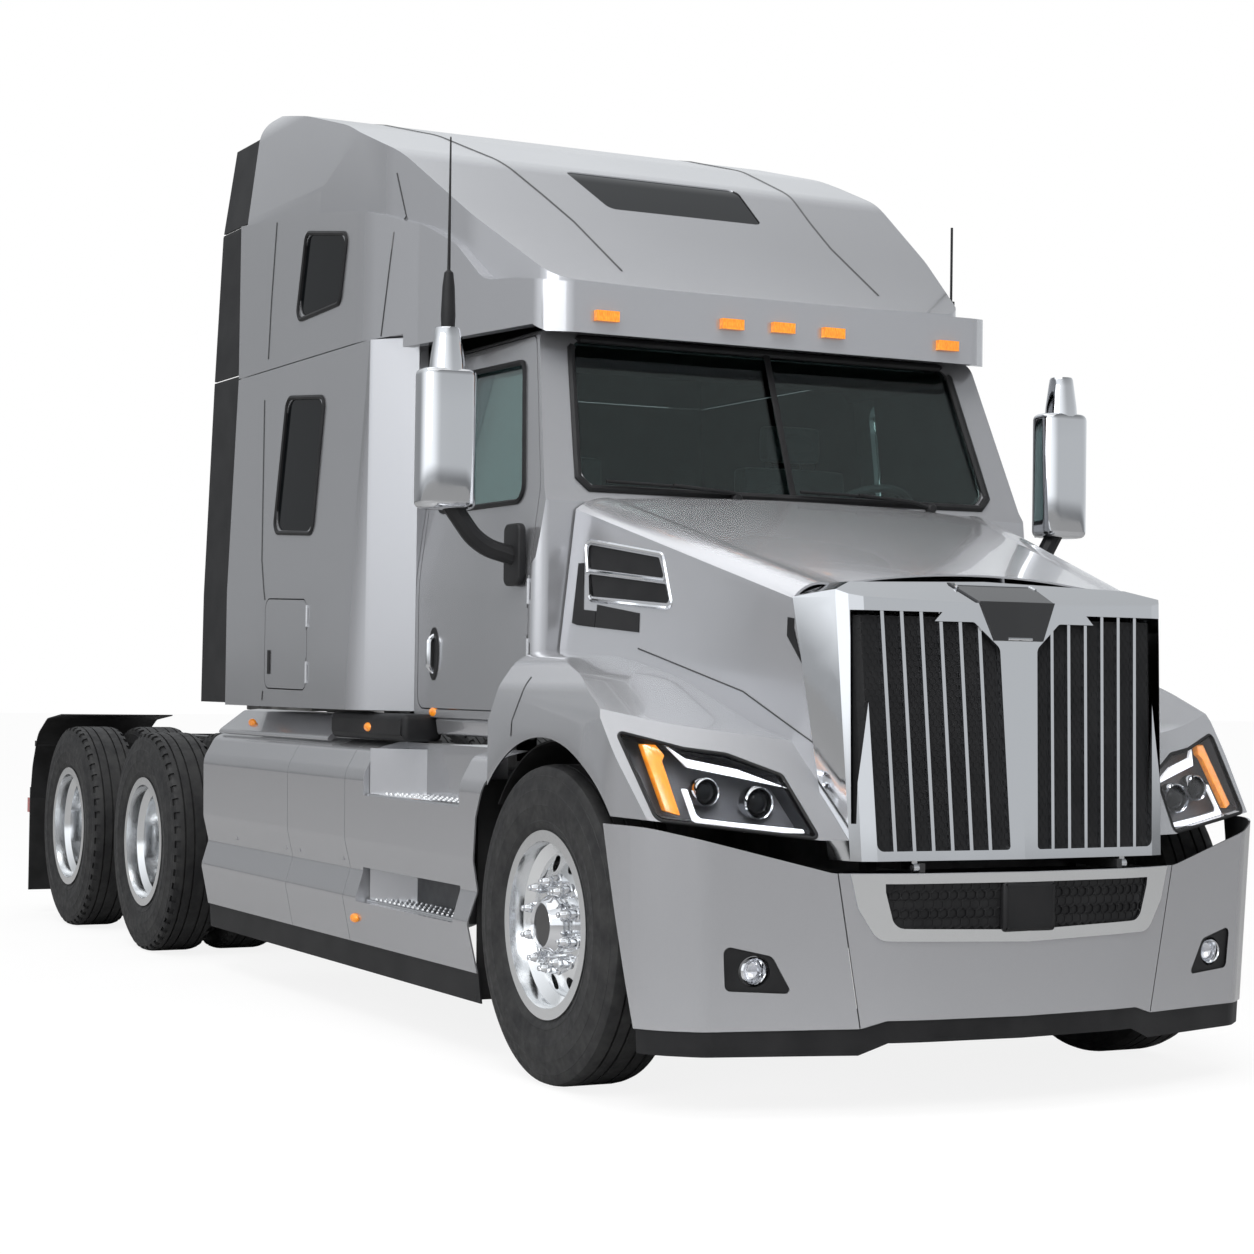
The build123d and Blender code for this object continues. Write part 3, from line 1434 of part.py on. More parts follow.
seat_half = 560
seat_width = 510
seat_top = 1590
with BuildPart() as seats:
    for side in (-1, 1):
        low, high = side * seat_half - seat_width / 2, side * seat_half + seat_width / 2
        box((low + 60, at(2080), cab_floor + wall), (high - 60, at(2400), 1450))
        box((low, at(1990), 1450), (high, at(2480), seat_top))
        back = [(at(2370), seat_top), (at(2480), seat_top), (at(2530), 2250), (at(2440), 2250)]
        prism_x(back, low, high)
        box((low + 120, at(2440), 2250), (high - 120, at(2530), 2400))
save(seats, "seats")

with BuildPart() as bunk:
    box((-1130, at(3350), sleeper_floor + wall), (1130, sleeper_rear - wall, 1700))
save(bunk, "bunk")

with BuildPart() as steering_wheel:
    with Locations(Plane(origin=wheel_middle, z_dir=column_lean)):
        Torus(wheel_radius, 16)
        Cylinder(45, 2 * wheel_hub_half)
        with PolarLocations(wheel_radius / 2, 3, start_angle=90):
            Box(wheel_radius - 10, 24, 12)
save(steering_wheel, "steering_wheel")
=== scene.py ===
import json
import math
import bpy
from mathutils import Matrix, Vector


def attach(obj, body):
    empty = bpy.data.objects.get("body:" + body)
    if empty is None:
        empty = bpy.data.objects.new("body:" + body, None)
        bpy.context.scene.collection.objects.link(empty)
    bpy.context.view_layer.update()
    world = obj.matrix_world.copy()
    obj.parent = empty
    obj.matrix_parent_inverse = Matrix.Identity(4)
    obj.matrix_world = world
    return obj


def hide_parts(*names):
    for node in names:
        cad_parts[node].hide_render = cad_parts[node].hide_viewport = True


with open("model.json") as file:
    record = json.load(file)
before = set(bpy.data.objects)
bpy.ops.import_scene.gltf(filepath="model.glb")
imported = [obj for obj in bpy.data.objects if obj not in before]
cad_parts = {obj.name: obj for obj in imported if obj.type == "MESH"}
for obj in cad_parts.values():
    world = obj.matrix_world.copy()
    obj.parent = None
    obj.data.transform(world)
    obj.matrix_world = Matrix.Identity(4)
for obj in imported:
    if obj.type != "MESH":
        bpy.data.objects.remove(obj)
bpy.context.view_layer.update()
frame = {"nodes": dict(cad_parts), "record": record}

nodes = frame["nodes"]
bodyOf = {node: body for body, names in frame["record"]["behaviour"]["bodies"].items() for node in names}
halfLength = 3.8775
sides = {"left": 1, "right": -1}


def at(station):
    return station - halfLength  # y of a place this far behind the bumper's face


# choosing and editing
def clear():
    bpy.ops.object.select_all(action="DESELECT")


def applied():
    bpy.ops.object.transform_apply(location=True, rotation=True, scale=True)
    return bpy.context.object


def choose(*objects):
    if bpy.context.object and bpy.context.object.mode != "OBJECT":
        bpy.ops.object.mode_set(mode="OBJECT")
    clear()
    for each in objects:
        each.select_set(True)
    bpy.context.view_layer.objects.active = objects[0]


def edit(piece):
    choose(piece)
    bpy.ops.object.mode_set(mode="EDIT")
    bpy.ops.mesh.select_all(action="SELECT")


def pick(piece, kind, test):
    choose(piece)
    bpy.ops.object.mode_set(mode="EDIT")
    bpy.ops.mesh.select_mode(type=kind)
    bpy.ops.mesh.select_all(action="DESELECT")
    bpy.ops.object.mode_set(mode="OBJECT")
    mesh = piece.data
    if kind == "FACE":
        for face in mesh.polygons:
            face.select = bool(test(face.center, face.normal))
    elif kind == "EDGE":
        for edge in mesh.edges:
            a, b = (mesh.vertices[i].co for i in edge.vertices)
            edge.select = bool(test(a, b))
    else:
        for vertex in mesh.vertices:
            vertex.select = bool(test(vertex.co))
    bpy.ops.object.mode_set(mode="EDIT")


def leave():
    bpy.ops.mesh.select_mode(type="VERT")
    bpy.ops.object.mode_set(mode="OBJECT")


def outward():
    bpy.ops.mesh.select_all(action="SELECT")
    bpy.ops.mesh.normals_make_consistent(inside=False)
    leave()


def modify(piece, kind, **values):
    choose(piece)
    modifier = piece.modifiers.new(kind.lower(), kind)
    for key, value in values.items():
        setattr(modifier, key, value)
    bpy.ops.object.modifier_apply(modifier=modifier.name)


def soften(piece, width, segments=2):
    modify(piece, "BEVEL", width=width, segments=segments, limit_method="ANGLE",
           angle_limit=math.radians(30), miter_outer="MITER_ARC", use_clamp_overlap=True)


def takeCopy(node):
    piece = bpy.data.objects.new("dressed_" + node, nodes[node].data.copy())
    bpy.context.scene.collection.objects.link(piece)
    edit(piece)
    bpy.ops.mesh.remove_doubles(threshold=0.00004)
    bpy.ops.mesh.dissolve_limited(angle_limit=math.radians(0.6))
    leave()
    return piece


# gives a piece its name, finish and body
def settle(piece, name, body, look, *replaced, smooth=32, slot=None):
    choose(piece)
    applied()
    piece.name = name
    piece.data.name = name
    piece.data.materials.clear()
    piece.data.materials.append(looks[look])
    if smooth:
        bpy.ops.object.shade_smooth_by_angle(angle=math.radians(smooth))
    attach(piece, body)
    if replaced:
        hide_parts(*replaced)
    return piece


def secondLook(piece, look, test):
    piece.data.materials.append(looks[look])
    for face in piece.data.polygons:
        if test(face.center, face.normal):
            face.material_index = len(piece.data.materials) - 1


def joined(pieces):
    choose(*pieces)
    if len(pieces) > 1:
        bpy.ops.object.join()
    return bpy.context.object


def copied(piece, location):
    copy = piece.copy()
    copy.data = piece.data.copy()
    bpy.context.scene.collection.objects.link(copy)
    copy.location = location
    choose(copy)
    return applied()


# shaping
def wire(points, closed=True):
    if len(points) == 2:
        points = [points[0], (Vector(points[0]) + Vector(points[1])) / 2, points[1]]
    clear()
    bpy.ops.mesh.primitive_circle_add(vertices=len(points), radius=1)
    piece = bpy.context.object
    for vertex, point in zip(piece.data.vertices, points):
        vertex.co = point
    if not closed:
        ends = [Vector(points[0]), Vector(points[-1])]
        pick(piece, "EDGE", lambda a, b: (a - ends[0]).length + (b - ends[1]).length < 1e-5
             or (b - ends[0]).length + (a - ends[1]).length < 1e-5)
        bpy.ops.mesh.delete(type="EDGE")
        leave()
    return piece


def slab(points, move):
    piece = wire(points)
    edit(piece)
    bpy.ops.mesh.edge_face_add()
    bpy.ops.mesh.extrude_region_move(TRANSFORM_OT_translate={"value": move})
    outward()
    return piece


def turned(points, centre, axis, steps=32, closed=False):
    piece = wire([Vector(point) + Vector(centre) for point in points], closed)
    edit(piece)
    bpy.ops.mesh.spin(steps=steps, angle=2 * math.pi, center=centre, axis=axis)
    bpy.ops.mesh.select_all(action="SELECT")
    bpy.ops.mesh.remove_doubles(threshold=0.00003)
    outward()
    return piece
# a profile of (distance along, radius) turned about the line of a wheel, of the truck or of a mast
def lathe(profile, centre, axis, steps, sign=1, closed=False):
    if axis == "x":
        points, line = [(sign * along, 0, radius) for along, radius in profile], (1, 0, 0)
    elif axis == "y":
        points, line = [(radius, along, 0) for along, radius in profile], (0, 1, 0)
    else:
        points, line = [(radius, 0, along) for along, radius in profile], (0, 0, 1)
    return turned(points, centre, line, steps, closed)

def thickened(piece, radius, rings=2):
    choose(piece)
    bpy.ops.object.convert(target="CURVE")
    curve = bpy.context.object.data
    curve.bevel_depth = radius
    curve.bevel_resolution = rings
    curve.use_fill_caps = True
    bpy.ops.object.convert(target="MESH")
    return bpy.context.object


def tube(points, radius, closed=False, bend=0.0):
    piece = wire(points, closed)
    if bend:
        edit(piece)
        bpy.ops.mesh.bevel(offset=bend, segments=6, affect="VERTICES")
        leave()
    return thickened(piece, radius, 3)


def cube(middle, size):
    clear()
    bpy.ops.mesh.primitive_cube_add(size=1, location=middle, scale=size)
    return applied()


def cubeBetween(low, high):
    return cube([(a + b) / 2 for a, b in zip(low, high)], [b - a for a, b in zip(low, high)])


def block(low, high, width, segments):
    piece = cubeBetween(low, high)
    soften(piece, width, segments)
    return piece


# a border round the chosen faces, then a narrow step down
def panelled(piece, test, border, step, drop):
    pick(piece, "FACE", test)
    bpy.ops.mesh.inset(thickness=border)
    bpy.ops.mesh.inset(thickness=step, depth=-drop)
    leave()


def repeated(piece, count, offset, **merge):
    modify(piece, "ARRAY", count=count, use_relative_offset=False, use_constant_offset=True,
           constant_offset_displace=offset, **merge)


def projected(piece, target, axis, offset=0.0):
    index = {"x": 0, "y": 1, "z": 2}[axis]
    start = piece.data.vertices[0].co[index]
    modify(piece, "SHRINKWRAP", target=target, wrap_method="PROJECT", offset=offset,
           use_negative_direction=True, use_positive_direction=True, **{"use_project_" + axis: True})
    pick(piece, "VERT", lambda co: abs(co[index] - start) < 1e-3)  # these met nothing
    bpy.ops.mesh.delete(type="VERT")
    leave()
    return piece


def lineOn(target, points, axis, radius, closed=False, cuts=6):
    piece = wire(points, closed)
    edit(piece)
    bpy.ops.mesh.subdivide(number_cuts=cuts)
    leave()
    return thickened(projected(piece, target, axis), radius, 1)


def patchOn(target, points, axis, thickness, cuts=3, lift=0.0015):
    piece = wire(points)
    edit(piece)
    bpy.ops.mesh.edge_face_add()
    bpy.ops.mesh.quads_convert_to_tris()
    bpy.ops.mesh.subdivide(number_cuts=cuts)
    leave()
    projected(piece, target, axis, lift)
    modify(piece, "SOLIDIFY", thickness=thickness, offset=0)
    return piece


def rounded(points, steps=5):
    made = []
    for index, (a, b, *radius) in enumerate(points):
        corner = Vector((a, b))
        if not radius:
            made.append((a, b))
            continue
        before = (Vector(points[index - 1][:2]) - corner).normalized()
        after = (Vector(points[(index + 1) % len(points)][:2]) - corner).normalized()
        half = before.angle(after) / 2
        reach = radius[0] / math.tan(half)
        centre = corner + (before + after).normalized() * (radius[0] / math.sin(half))
        start = corner + before * reach - centre
        end = corner + after * reach - centre
        turn = math.pi - 2 * half
        for step in range(steps + 1):
            angle = turn * step / steps
            arm = (start * math.sin(turn - angle) + end * math.sin(angle)) / math.sin(turn)
            made.append(tuple(centre + arm))
    return made


def grown(points, gap):
    middle = sum((Vector(point) for point in points), Vector((0, 0))) / len(points)
    return [tuple(Vector(point) + (Vector(point) - middle).normalized() * gap) for point in points]


# outlines drawn outside the truck, ready to be projected on to it
outside = {"side": 1.6, "front": -4.3, "above": 4.3}


def onSide(sign, points):
    return [(sign * outside["side"], at(station), z) for station, z in points]


def onFront(points):
    return [(x, outside["front"], z) for x, z in points]


def onTop(points):
    return [(x, at(station), outside["above"]) for x, station in points]


# materials
def newLook(name, colour, metallic=0.0, roughness=0.5, **sockets):
    look = bpy.data.materials.new(name)
    look.use_nodes = True
    shader = look.node_tree.nodes["Principled BSDF"]
    shader.inputs["Base Color"].default_value = (*colour, 1)
    shader.inputs["Metallic"].default_value = metallic
    shader.inputs["Roughness"].default_value = roughness
    for key, value in sockets.items():
        shader.inputs[key.replace("_", " ")].default_value = value
    return look, look.node_tree, shader


def addNode(tree, kind, **inputs):
    node = tree.nodes.new("ShaderNode" + kind)
    for key, value in inputs.items():
        node.inputs[key].default_value = value
    return node


def link(value, socket):
    socket.id_data.links.new(value, socket)


def coordsOf(tree, stretch=(1, 1, 1)):
    coords = addNode(tree, "TexCoord")
    mapping = addNode(tree, "Mapping", Scale=stretch)
    link(coords.outputs["Object"], mapping.inputs["Vector"])
    return mapping.outputs["Vector"]


# a pattern is made in the node tree that it is asked for
def noise(scale, detail, stretch=(1, 1, 1)):
    def build(tree):
        texture = addNode(tree, "TexNoise", Scale=scale, Detail=detail)
        link(coordsOf(tree, stretch), texture.inputs["Vector"])
        return texture.outputs["Fac"]
    return build


def cells(scale):
    def build(tree):
        texture = addNode(tree, "TexVoronoi", Scale=scale)
        link(coordsOf(tree), texture.inputs["Vector"])
        return texture.outputs["Distance"]
    return build


def ranged(tree, value, low, high, fromLow=0.3, fromHigh=0.7):
    scaled = addNode(tree, "MapRange")
    for index, number in ((1, fromLow), (2, fromHigh), (3, low), (4, high)):
        scaled.inputs[index].default_value = number
    link(value, scaled.inputs[0])
    return scaled.outputs[0]


def tinted(tree, value, dark, light, start=0.35, end=0.65):
    ramp = addNode(tree, "ValToRGB")
    first, last = ramp.color_ramp.elements
    first.position, last.position = start, end
    first.color, last.color = (*dark, 1), (*light, 1)
    link(value, ramp.inputs["Fac"])
    return ramp.outputs["Color"]


def mathOf(tree, kind, a, b):
    node = addNode(tree, "Math")
    node.operation = kind
    for index, value in enumerate((a, b)):
        if isinstance(value, (int, float)):
            node.inputs[index].default_value = value
        else:
            link(value, node.inputs[index])
    return node.outputs[0]


looks = {}


# tone is (pattern, dark, light), rough is (pattern, low, high) and bump is (pattern, strength, depth)
def addLook(key, name, colour, metallic, roughness, tone=None, rough=None, bump=None, **sockets):
    looks[key], tree, shader = newLook(name, colour, metallic, roughness, **sockets)
    if tone:
        link(tinted(tree, tone[0](tree), *tone[1:]), shader.inputs["Base Color"])
    if rough:
        link(ranged(tree, rough[0](tree), *rough[1:]), shader.inputs["Roughness"])
    if bump:
        relief = addNode(tree, "Bump", Strength=bump[1], Distance=bump[2])
        link(bump[0](tree), relief.inputs["Height"])
        link(relief.outputs["Normal"], shader.inputs["Normal"])


paint = {"colour": (0.45, 0.455, 0.475), "flake": 0.03, "metallic": 0.66, "rough": (0.21, 0.25)}
addLook("silver", "silverPaint", paint["colour"], paint["metallic"], 0.23,
        tone=(noise(1400, 1), [c - paint["flake"] for c in paint["colour"]],
              [c + paint["flake"] for c in paint["colour"]]),
        rough=(noise(2, 2), *paint["rough"]), bump=(noise(1400, 1), 0.015, 0.0004),
        Coat_Weight=0.6, Coat_Roughness=0.03)
addLook("chrome", "chrome", (0.7, 0.71, 0.73), 1.0, 0.06,
        rough=(noise(9, 4), 0.04, 0.09), bump=(noise(4, 1), 0.015, 0.004))
addLook("polished", "polishedAluminium", (0.8, 0.81, 0.82), 1.0, 0.14,
        rough=(noise(60, 3, (4, 1, 1)), 0.1, 0.2), bump=(noise(320, 2, (6, 1, 1)), 0.04, 0.0003))
addLook("tank", "brushedAluminium", (0.62, 0.63, 0.64), 1.0, 0.3,
        rough=(noise(40, 4, (20, 1, 20)), 0.24, 0.42), bump=(noise(200, 3, (14, 1, 14)), 0.12, 0.0004))
addLook("rubber", "tyreRubber", (0.018, 0.018, 0.019), 0.0, 0.62,
        tone=(noise(14, 4), (0.013, 0.013, 0.014), (0.028, 0.028, 0.028)),
        rough=(noise(40, 3), 0.5, 0.72), bump=(noise(700, 3), 0.2, 0.0006), Specular_IOR_Level=0.35)
addLook("flap", "flapRubber", (0.016, 0.016, 0.017), 0.0, 0.6,
        tone=(noise(7, 4), (0.01, 0.01, 0.01), (0.022, 0.022, 0.023)),
        bump=(noise(420, 2), 0.2, 0.0008), Specular_IOR_Level=0.3)
addLook("chassis", "chassisPaint", (0.03, 0.03, 0.032), 0.0, 0.42,
        tone=(noise(5, 5), (0.016, 0.016, 0.018), (0.038, 0.037, 0.036)),
        rough=(noise(18, 4), 0.34, 0.6), bump=(noise(220, 3), 0.12, 0.001), Coat_Weight=0.2)
addLook("iron", "castIron", (0.08, 0.08, 0.083), 0.7, 0.5,
        tone=(noise(12, 6), (0.04, 0.039, 0.038), (0.11, 0.108, 0.105)),
        rough=(noise(26, 4), 0.35, 0.7), bump=(noise(260, 4), 0.3, 0.0012))
addLook("black", "blackPlastic", (0.01, 0.01, 0.011), 0.0, 0.5,
        tone=(noise(6, 3), (0.007, 0.007, 0.008), (0.014, 0.014, 0.015)),
        rough=(cells(800), 0.46, 0.6, 0, 0.8), bump=(cells(900), 0.12, 0.0003), Specular_IOR_Level=0.3)
addLook("gloss", "glossBlack", (0.008, 0.008, 0.009), 0.0, 0.1,
        rough=(noise(12, 3), 0.07, 0.16), Coat_Weight=0.5)
addLook("satin", "lampSatin", (0.055, 0.057, 0.062), 0.5, 0.35,
        rough=(noise(30, 3), 0.28, 0.42), bump=(cells(300), 0.1, 0.0004))
addLook("inside", "interiorPlastic", (0.05, 0.05, 0.054), 0.0, 0.6,
        tone=(noise(3, 2), (0.04, 0.04, 0.043), (0.062, 0.061, 0.064)), bump=(cells(500), 0.25, 0.0006))


def weave(tree):
    return mathOf(tree, "MULTIPLY", noise(260, 1, (1, 6, 1))(tree), noise(260, 1, (6, 1, 6))(tree))


addLook("fabric", "seatFabric", (0.1, 0.1, 0.108), 0.0, 0.9,
        tone=(weave, (0.055, 0.055, 0.06), (0.15, 0.15, 0.158), 0.15, 0.4),
        bump=(weave, 0.5, 0.001), Sheen_Weight=0.35)
addLook("glass", "tintedGlass", (0.42, 0.55, 0.54), 0.0, 0.0,
        rough=(noise(2, 2), 0.0, 0.01), Transmission_Weight=1.0, IOR=1.45)
addLook("darkGlass", "darkGlass", (0.004, 0.005, 0.006), 0.0, 0.05,
        rough=(noise(2, 2), 0.03, 0.07), Specular_IOR_Level=0.12)
addLook("lens", "clearLens", (0.96, 0.97, 1.0), 0.0, 0.0,
        rough=(noise(6, 2), 0.0, 0.015), Transmission_Weight=1.0, IOR=1.15)
addLook("lightBar", "lightBar", (0.85, 0.87, 0.9), 0.0, 0.3,
        rough=(noise(80, 1), 0.2, 0.4), Emission_Color=(1.0, 1.0, 1.0, 1), Emission_Strength=0.5)
addLook("amber", "amberLens", (0.9, 0.3, 0.02), 0.0, 0.15,
        tone=(noise(60, 1, (8, 1, 1)), (0.7, 0.17, 0.006), (0.95, 0.36, 0.02)),
        bump=(noise(90, 0, (6, 1, 0.2)), 0.5, 0.001), Coat_Weight=0.6,
        Emission_Color=(1.0, 0.3, 0.01, 1), Emission_Strength=0.3)
addLook("red", "redLens", (0.5, 0.015, 0.012), 0.0, 0.15,
        tone=(cells(110), (0.6, 0.02, 0.015), (0.3, 0.005, 0.005), 0.1, 0.7),
        bump=(cells(110), 0.5, 0.001), Coat_Weight=1.0,
        Emission_Color=(1.0, 0.02, 0.01, 1), Emission_Strength=0.08)
print("materials ready")

camera = {
    "place": (-4.8282, -6.5951 - halfLength, 1.3215), "lens": 73.54, "sensor": 36,
    "right": (0.8893998, -0.4569259, 0.0136633), "up": (-0.0222764, -0.013468, 0.9996611),
    "forward": (0.4565871, 0.8894028, 0.0221571)}
clear()
bpy.ops.object.camera_add(location=(0, 0, 0))
cameraObject = bpy.context.object
columns = [Vector(camera[key]) for key in ("right", "up", "forward", "place")]
columns[2].negate()
cameraObject.matrix_world = Matrix([[c[row] for c in columns] for row in range(3)] + [[0, 0, 0, 1]])
cameraObject.data.sensor_width = camera["sensor"]
cameraObject.data.lens = camera["lens"]
bpy.context.scene.camera = cameraObject

# strengths of lamps, world and floor, and of the parts of the dome that only reflections see
studio = {
    "worldLight": 0.5, "sun": 1.15, "sunAngle": 25, "overhead": 260, "hood": 26, "hoodSpread": 70,
    "key": 420, "front": 90, "floorSize": 160, "floorGlow": 1.2, "floorShown": 0.72,
    "domeRadius": 36, "domeColour": (0.94, 0.97, 1.0, 1), "domeBase": 0.85, "domeBright": 0.65,
    "frontDark": 0.2, "sideDark": 0.5, "domeTop": 0.26, "topBright": 0.85, "strip": 0.4}
bpy.context.scene.view_settings.view_transform = "Standard"
world = bpy.data.worlds.new("studio")
bpy.context.scene.world = world
world.use_nodes = True
tree = world.node_tree
back = tree.nodes["Background"]
paths = addNode(tree, "LightPath").outputs
mirrored = mathOf(tree, "MAXIMUM", paths["Is Glossy Ray"], paths["Is Transmission Ray"])
shown = mathOf(tree, "MAXIMUM", paths["Is Camera Ray"], mirrored)
link(ranged(tree, shown, studio["worldLight"], 1.0, 0, 1), back.inputs["Strength"])
back.inputs["Color"].default_value = (1, 1, 1, 1)

bpy.ops.mesh.primitive_plane_add(size=studio["floorSize"], location=(0, 0, 0))
floor = bpy.context.object
floor.name = "floor"
ground, tree, shader = newLook("paleFloor", (0.5, 0.5, 0.5), 0.0, 0.9, Specular_IOR_Level=0.0)
grain = tinted(tree, noise(2, 2)(tree), (0.49, 0.49, 0.49), (0.51, 0.51, 0.51))
link(grain, shader.inputs["Base Color"])
glow = addNode(tree, "Emission", Color=(1, 1, 1, 1), Strength=studio["floorGlow"])
seen = addNode(tree, "LightPath").outputs["Is Camera Ray"]
mixed = addNode(tree, "MixShader")
link(mathOf(tree, "MULTIPLY", seen, studio["floorShown"]), mixed.inputs[0])
link(shader.outputs[0], mixed.inputs[1])
link(glow.outputs[0], mixed.inputs[2])
link(mixed.outputs[0], tree.nodes["Material Output"].inputs["Surface"])
floor.data.materials.append(ground)

# a wide dome, brighter on the side of the main lamp
radius = studio["domeRadius"]
bpy.ops.mesh.primitive_uv_sphere_add(segments=64, ring_count=32, radius=radius, location=(0, 0, 0))
dome = bpy.context.object
pick(dome, "VERT", lambda co: co.z < -0.1)
bpy.ops.mesh.delete(type="VERT")
leave()
dome.name = "reflectionDome"
domeLook, tree, shader = newLook("studioGradient", (0, 0, 0), 0.0, 1.0)
split = addNode(tree, "SeparateXYZ")
parts = split.outputs
link(coordsOf(tree, (1 / radius, 1 / radius, 1 / radius)), split.inputs[0])


def towards(x, y, start, end):
    across = mathOf(tree, "MULTIPLY", parts[0], x)
    along = mathOf(tree, "MULTIPLY", parts[1], y)
    lobe = ranged(tree, mathOf(tree, "ADD", across, along), 0.0, 1.0, start, end)
    lobe.node.interpolation_type = "SMOOTHSTEP"
    return lobe


bright = mathOf(tree, "MULTIPLY", towards(-0.9, -0.43, 0.1, 1.0), studio["domeBright"])
darkFront = mathOf(tree, "MULTIPLY", towards(0.457, -0.889, 0.1, 0.9), studio["frontDark"])
darkSide = mathOf(tree, "MULTIPLY", towards(-0.457, 0.889, 0.3, 1.0), studio["sideDark"])
lobes = mathOf(tree, "SUBTRACT", bright, mathOf(tree, "ADD", darkFront, darkSide))
around = mathOf(tree, "ADD", studio["domeBase"], lobes)
upward = ranged(tree, parts[2], 0.0, 1.0, 0.25, 0.85)
strip = ranged(tree, parts[2], studio["strip"], 1.0, 0.02, 0.06)
topLobe = mathOf(tree, "MAXIMUM", towards(-1.0, 0.0, 0.0, 0.7), towards(-0.457, 0.889, 0.0, 0.6))
above = mathOf(tree, "ADD", studio["domeTop"], mathOf(tree, "MULTIPLY", studio["topBright"], topLobe))
level = mathOf(tree, "ADD", mathOf(tree, "MULTIPLY", around, mathOf(tree, "SUBTRACT", 1.0, upward)),
               mathOf(tree, "MULTIPLY", upward, above))
glow = addNode(tree, "Emission", Color=studio["domeColour"])
link(mathOf(tree, "MULTIPLY", level, strip), glow.inputs["Strength"])
link(glow.outputs[0], tree.nodes["Material Output"].inputs["Surface"])
dome.data.materials.append(domeLook)
dome.visible_camera = dome.visible_diffuse = dome.visible_shadow = dome.visible_transmission = False


def lamp(name, kind, place, aim, power):
    clear()
    bpy.ops.object.light_add(type=kind, location=place)
    made = bpy.context.object
    made.name = name
    made.rotation_euler = (Vector(aim) - Vector(place)).to_track_quat("-Z", "Y").to_euler()
    made.data.energy = power
    return made


def softbox(name, place, aim, power, width, height):
    made = lamp(name, "AREA", place, aim, power)
    made.data.shape = "RECTANGLE"
    made.data.size, made.data.size_y = width, height
    return made


softbox("overheadBox", (-1, -1, 10), (0, 0, 1), studio["overhead"], 9, 12)
softbox("keyBox", (-12, -7, 6), (0, -1, 1.5), studio["key"], 10, 6)
softbox("frontBox", (5, -13, 4), (0, -3, 1.2), studio["front"], 6, 4).visible_glossy = False
hoodBox = softbox("hoodBox", (-0.5, -3.5, 4.6), (-0.5, -3.2, 1), studio["hood"], 2.6, 1.6)
hoodBox.visible_glossy = False
hoodBox.data.spread = math.radians(studio["hoodSpread"])
softSun = lamp("softSun", "SUN", (-6, -8, 12), (0, 0, 0), studio["sun"])
softSun.data.angle = math.radians(studio["sunAngle"])
print("studio ready")

# finishes of the nodes that keep their own shape
keptNodes = {
    "chassis": ["frame_rails", "front_axle", "knuckle_left", "knuckle_right", "drive_axles",
                "chassis_boxes"],
    "iron": ["engine_block", "fifth_wheel_base", "fifth_wheel_plate"],
    "tank": ["radiator", "fuel_tanks", "deck_plate"],
    "flap": ["rear_guards"],
    "red": ["tail_lamps"],
    "black": ["bumper_valance", "side_skirts", "cab_extenders", "lower_grille", "grille_mesh",
              "roof_antenna"],
    "glass": ["windshield", "door_glass_left", "door_glass_right"],
    "darkGlass": ["sleeper_glass"],
    "lens": ["headlamp_lenses", "fog_lamps"],
    "gloss": ["headlamp_housings", "badge_plate"],
    "chrome": ["bumper_trim", "grille_surround"],
    "amber": ["marker_lamps"],
    "inside": ["dash", "steering_wheel"],
    "fabric": ["seats", "bunk"],
    "polished": [n for n in nodes if "rim" in n],
}
for look, names in keptNodes.items():
    for name in names:
        node = nodes[name]
        node.data.materials.clear()
        node.data.materials.append(looks[look])

# painted panels: softened copies that stand for their nodes
panelWidths = {
    "cab_shell": 0.004, "door_left": 0.003, "door_right": 0.003, "sleeper_shell": 0.008,
    "locker_door_left": 0.003, "locker_door_right": 0.003, "roof_cap": 0.02, "hood": 0.004,
    "bumper": 0.003, "side_fairings": 0.003}
dressed = {}
for node, width in panelWidths.items():
    piece = takeCopy(node)
    soften(piece, width, 3)
    settle(piece, "dressed_" + node, bodyOf[node], "silver", node)
    modify(piece, "WEIGHTED_NORMAL", keep_sharp=True)
    dressed[node] = piece

# faces turned towards a panel's heart get its inner finish
panelHearts = {
    "hood": ("black", (0, at(0.95), 1.0)), "cab_shell": ("inside", (0, at(2.0), 1.9)),
    "sleeper_shell": ("inside", (0, at(3.4), 1.9)), "roof_cap": ("inside", (0, at(3.0), 2.9)),
    "bumper": ("black", (0, at(0.9), 0.6))}
for node, (look, heart) in panelHearts.items():
    secondLook(dressed[node], look, lambda centre, normal: normal.dot(centre - Vector(heart)) < -0.02)
print("painted panels ready")

# tyres: one turned section for the steer wheels and one for the drive wheels, with tread lugs
tyre = {
    "steps": 96, "frontHalf": 0.14, "driveHalf": 0.1375, "axle": 0.527, "tread": 0.527,
    "grooves": (0.03, 0.074), "groove": ((-0.0042, 0), (-0.0032, 0.01), (0.0032, 0.01), (0.0042, 0)),
    "lugDepth": 0.009, "lugInner": 0.09, "lugOuter": 0.87, "lugRadius": 0.5,
    "wall": ((0.7, 0.5245), (0.83, 0.5185), (0.885, 0.505), (0.905, 0.49), (0.917, 0.4885),
             (0.916, 0.484), (0.948, 0.462), (0.978, 0.446), (0.987, 0.4445), (0.984, 0.44),
             (1.0, 0.4185), (0.993, 0.396), (0.999, 0.393), (0.988, 0.389), (0.955, 0.352),
             (0.944, 0.343), (0.954, 0.34), (0.938, 0.334), (0.885, 0.32), (0.843, 0.313),
             (0.843, 0.2866))}
wheelPlaces = {
    "front_wheel": (1.02, (1.085,)), "drive_wheels_1": (5.515, (0.765, 1.105)),
    "drive_wheels_2": (6.885, (0.765, 1.105))}


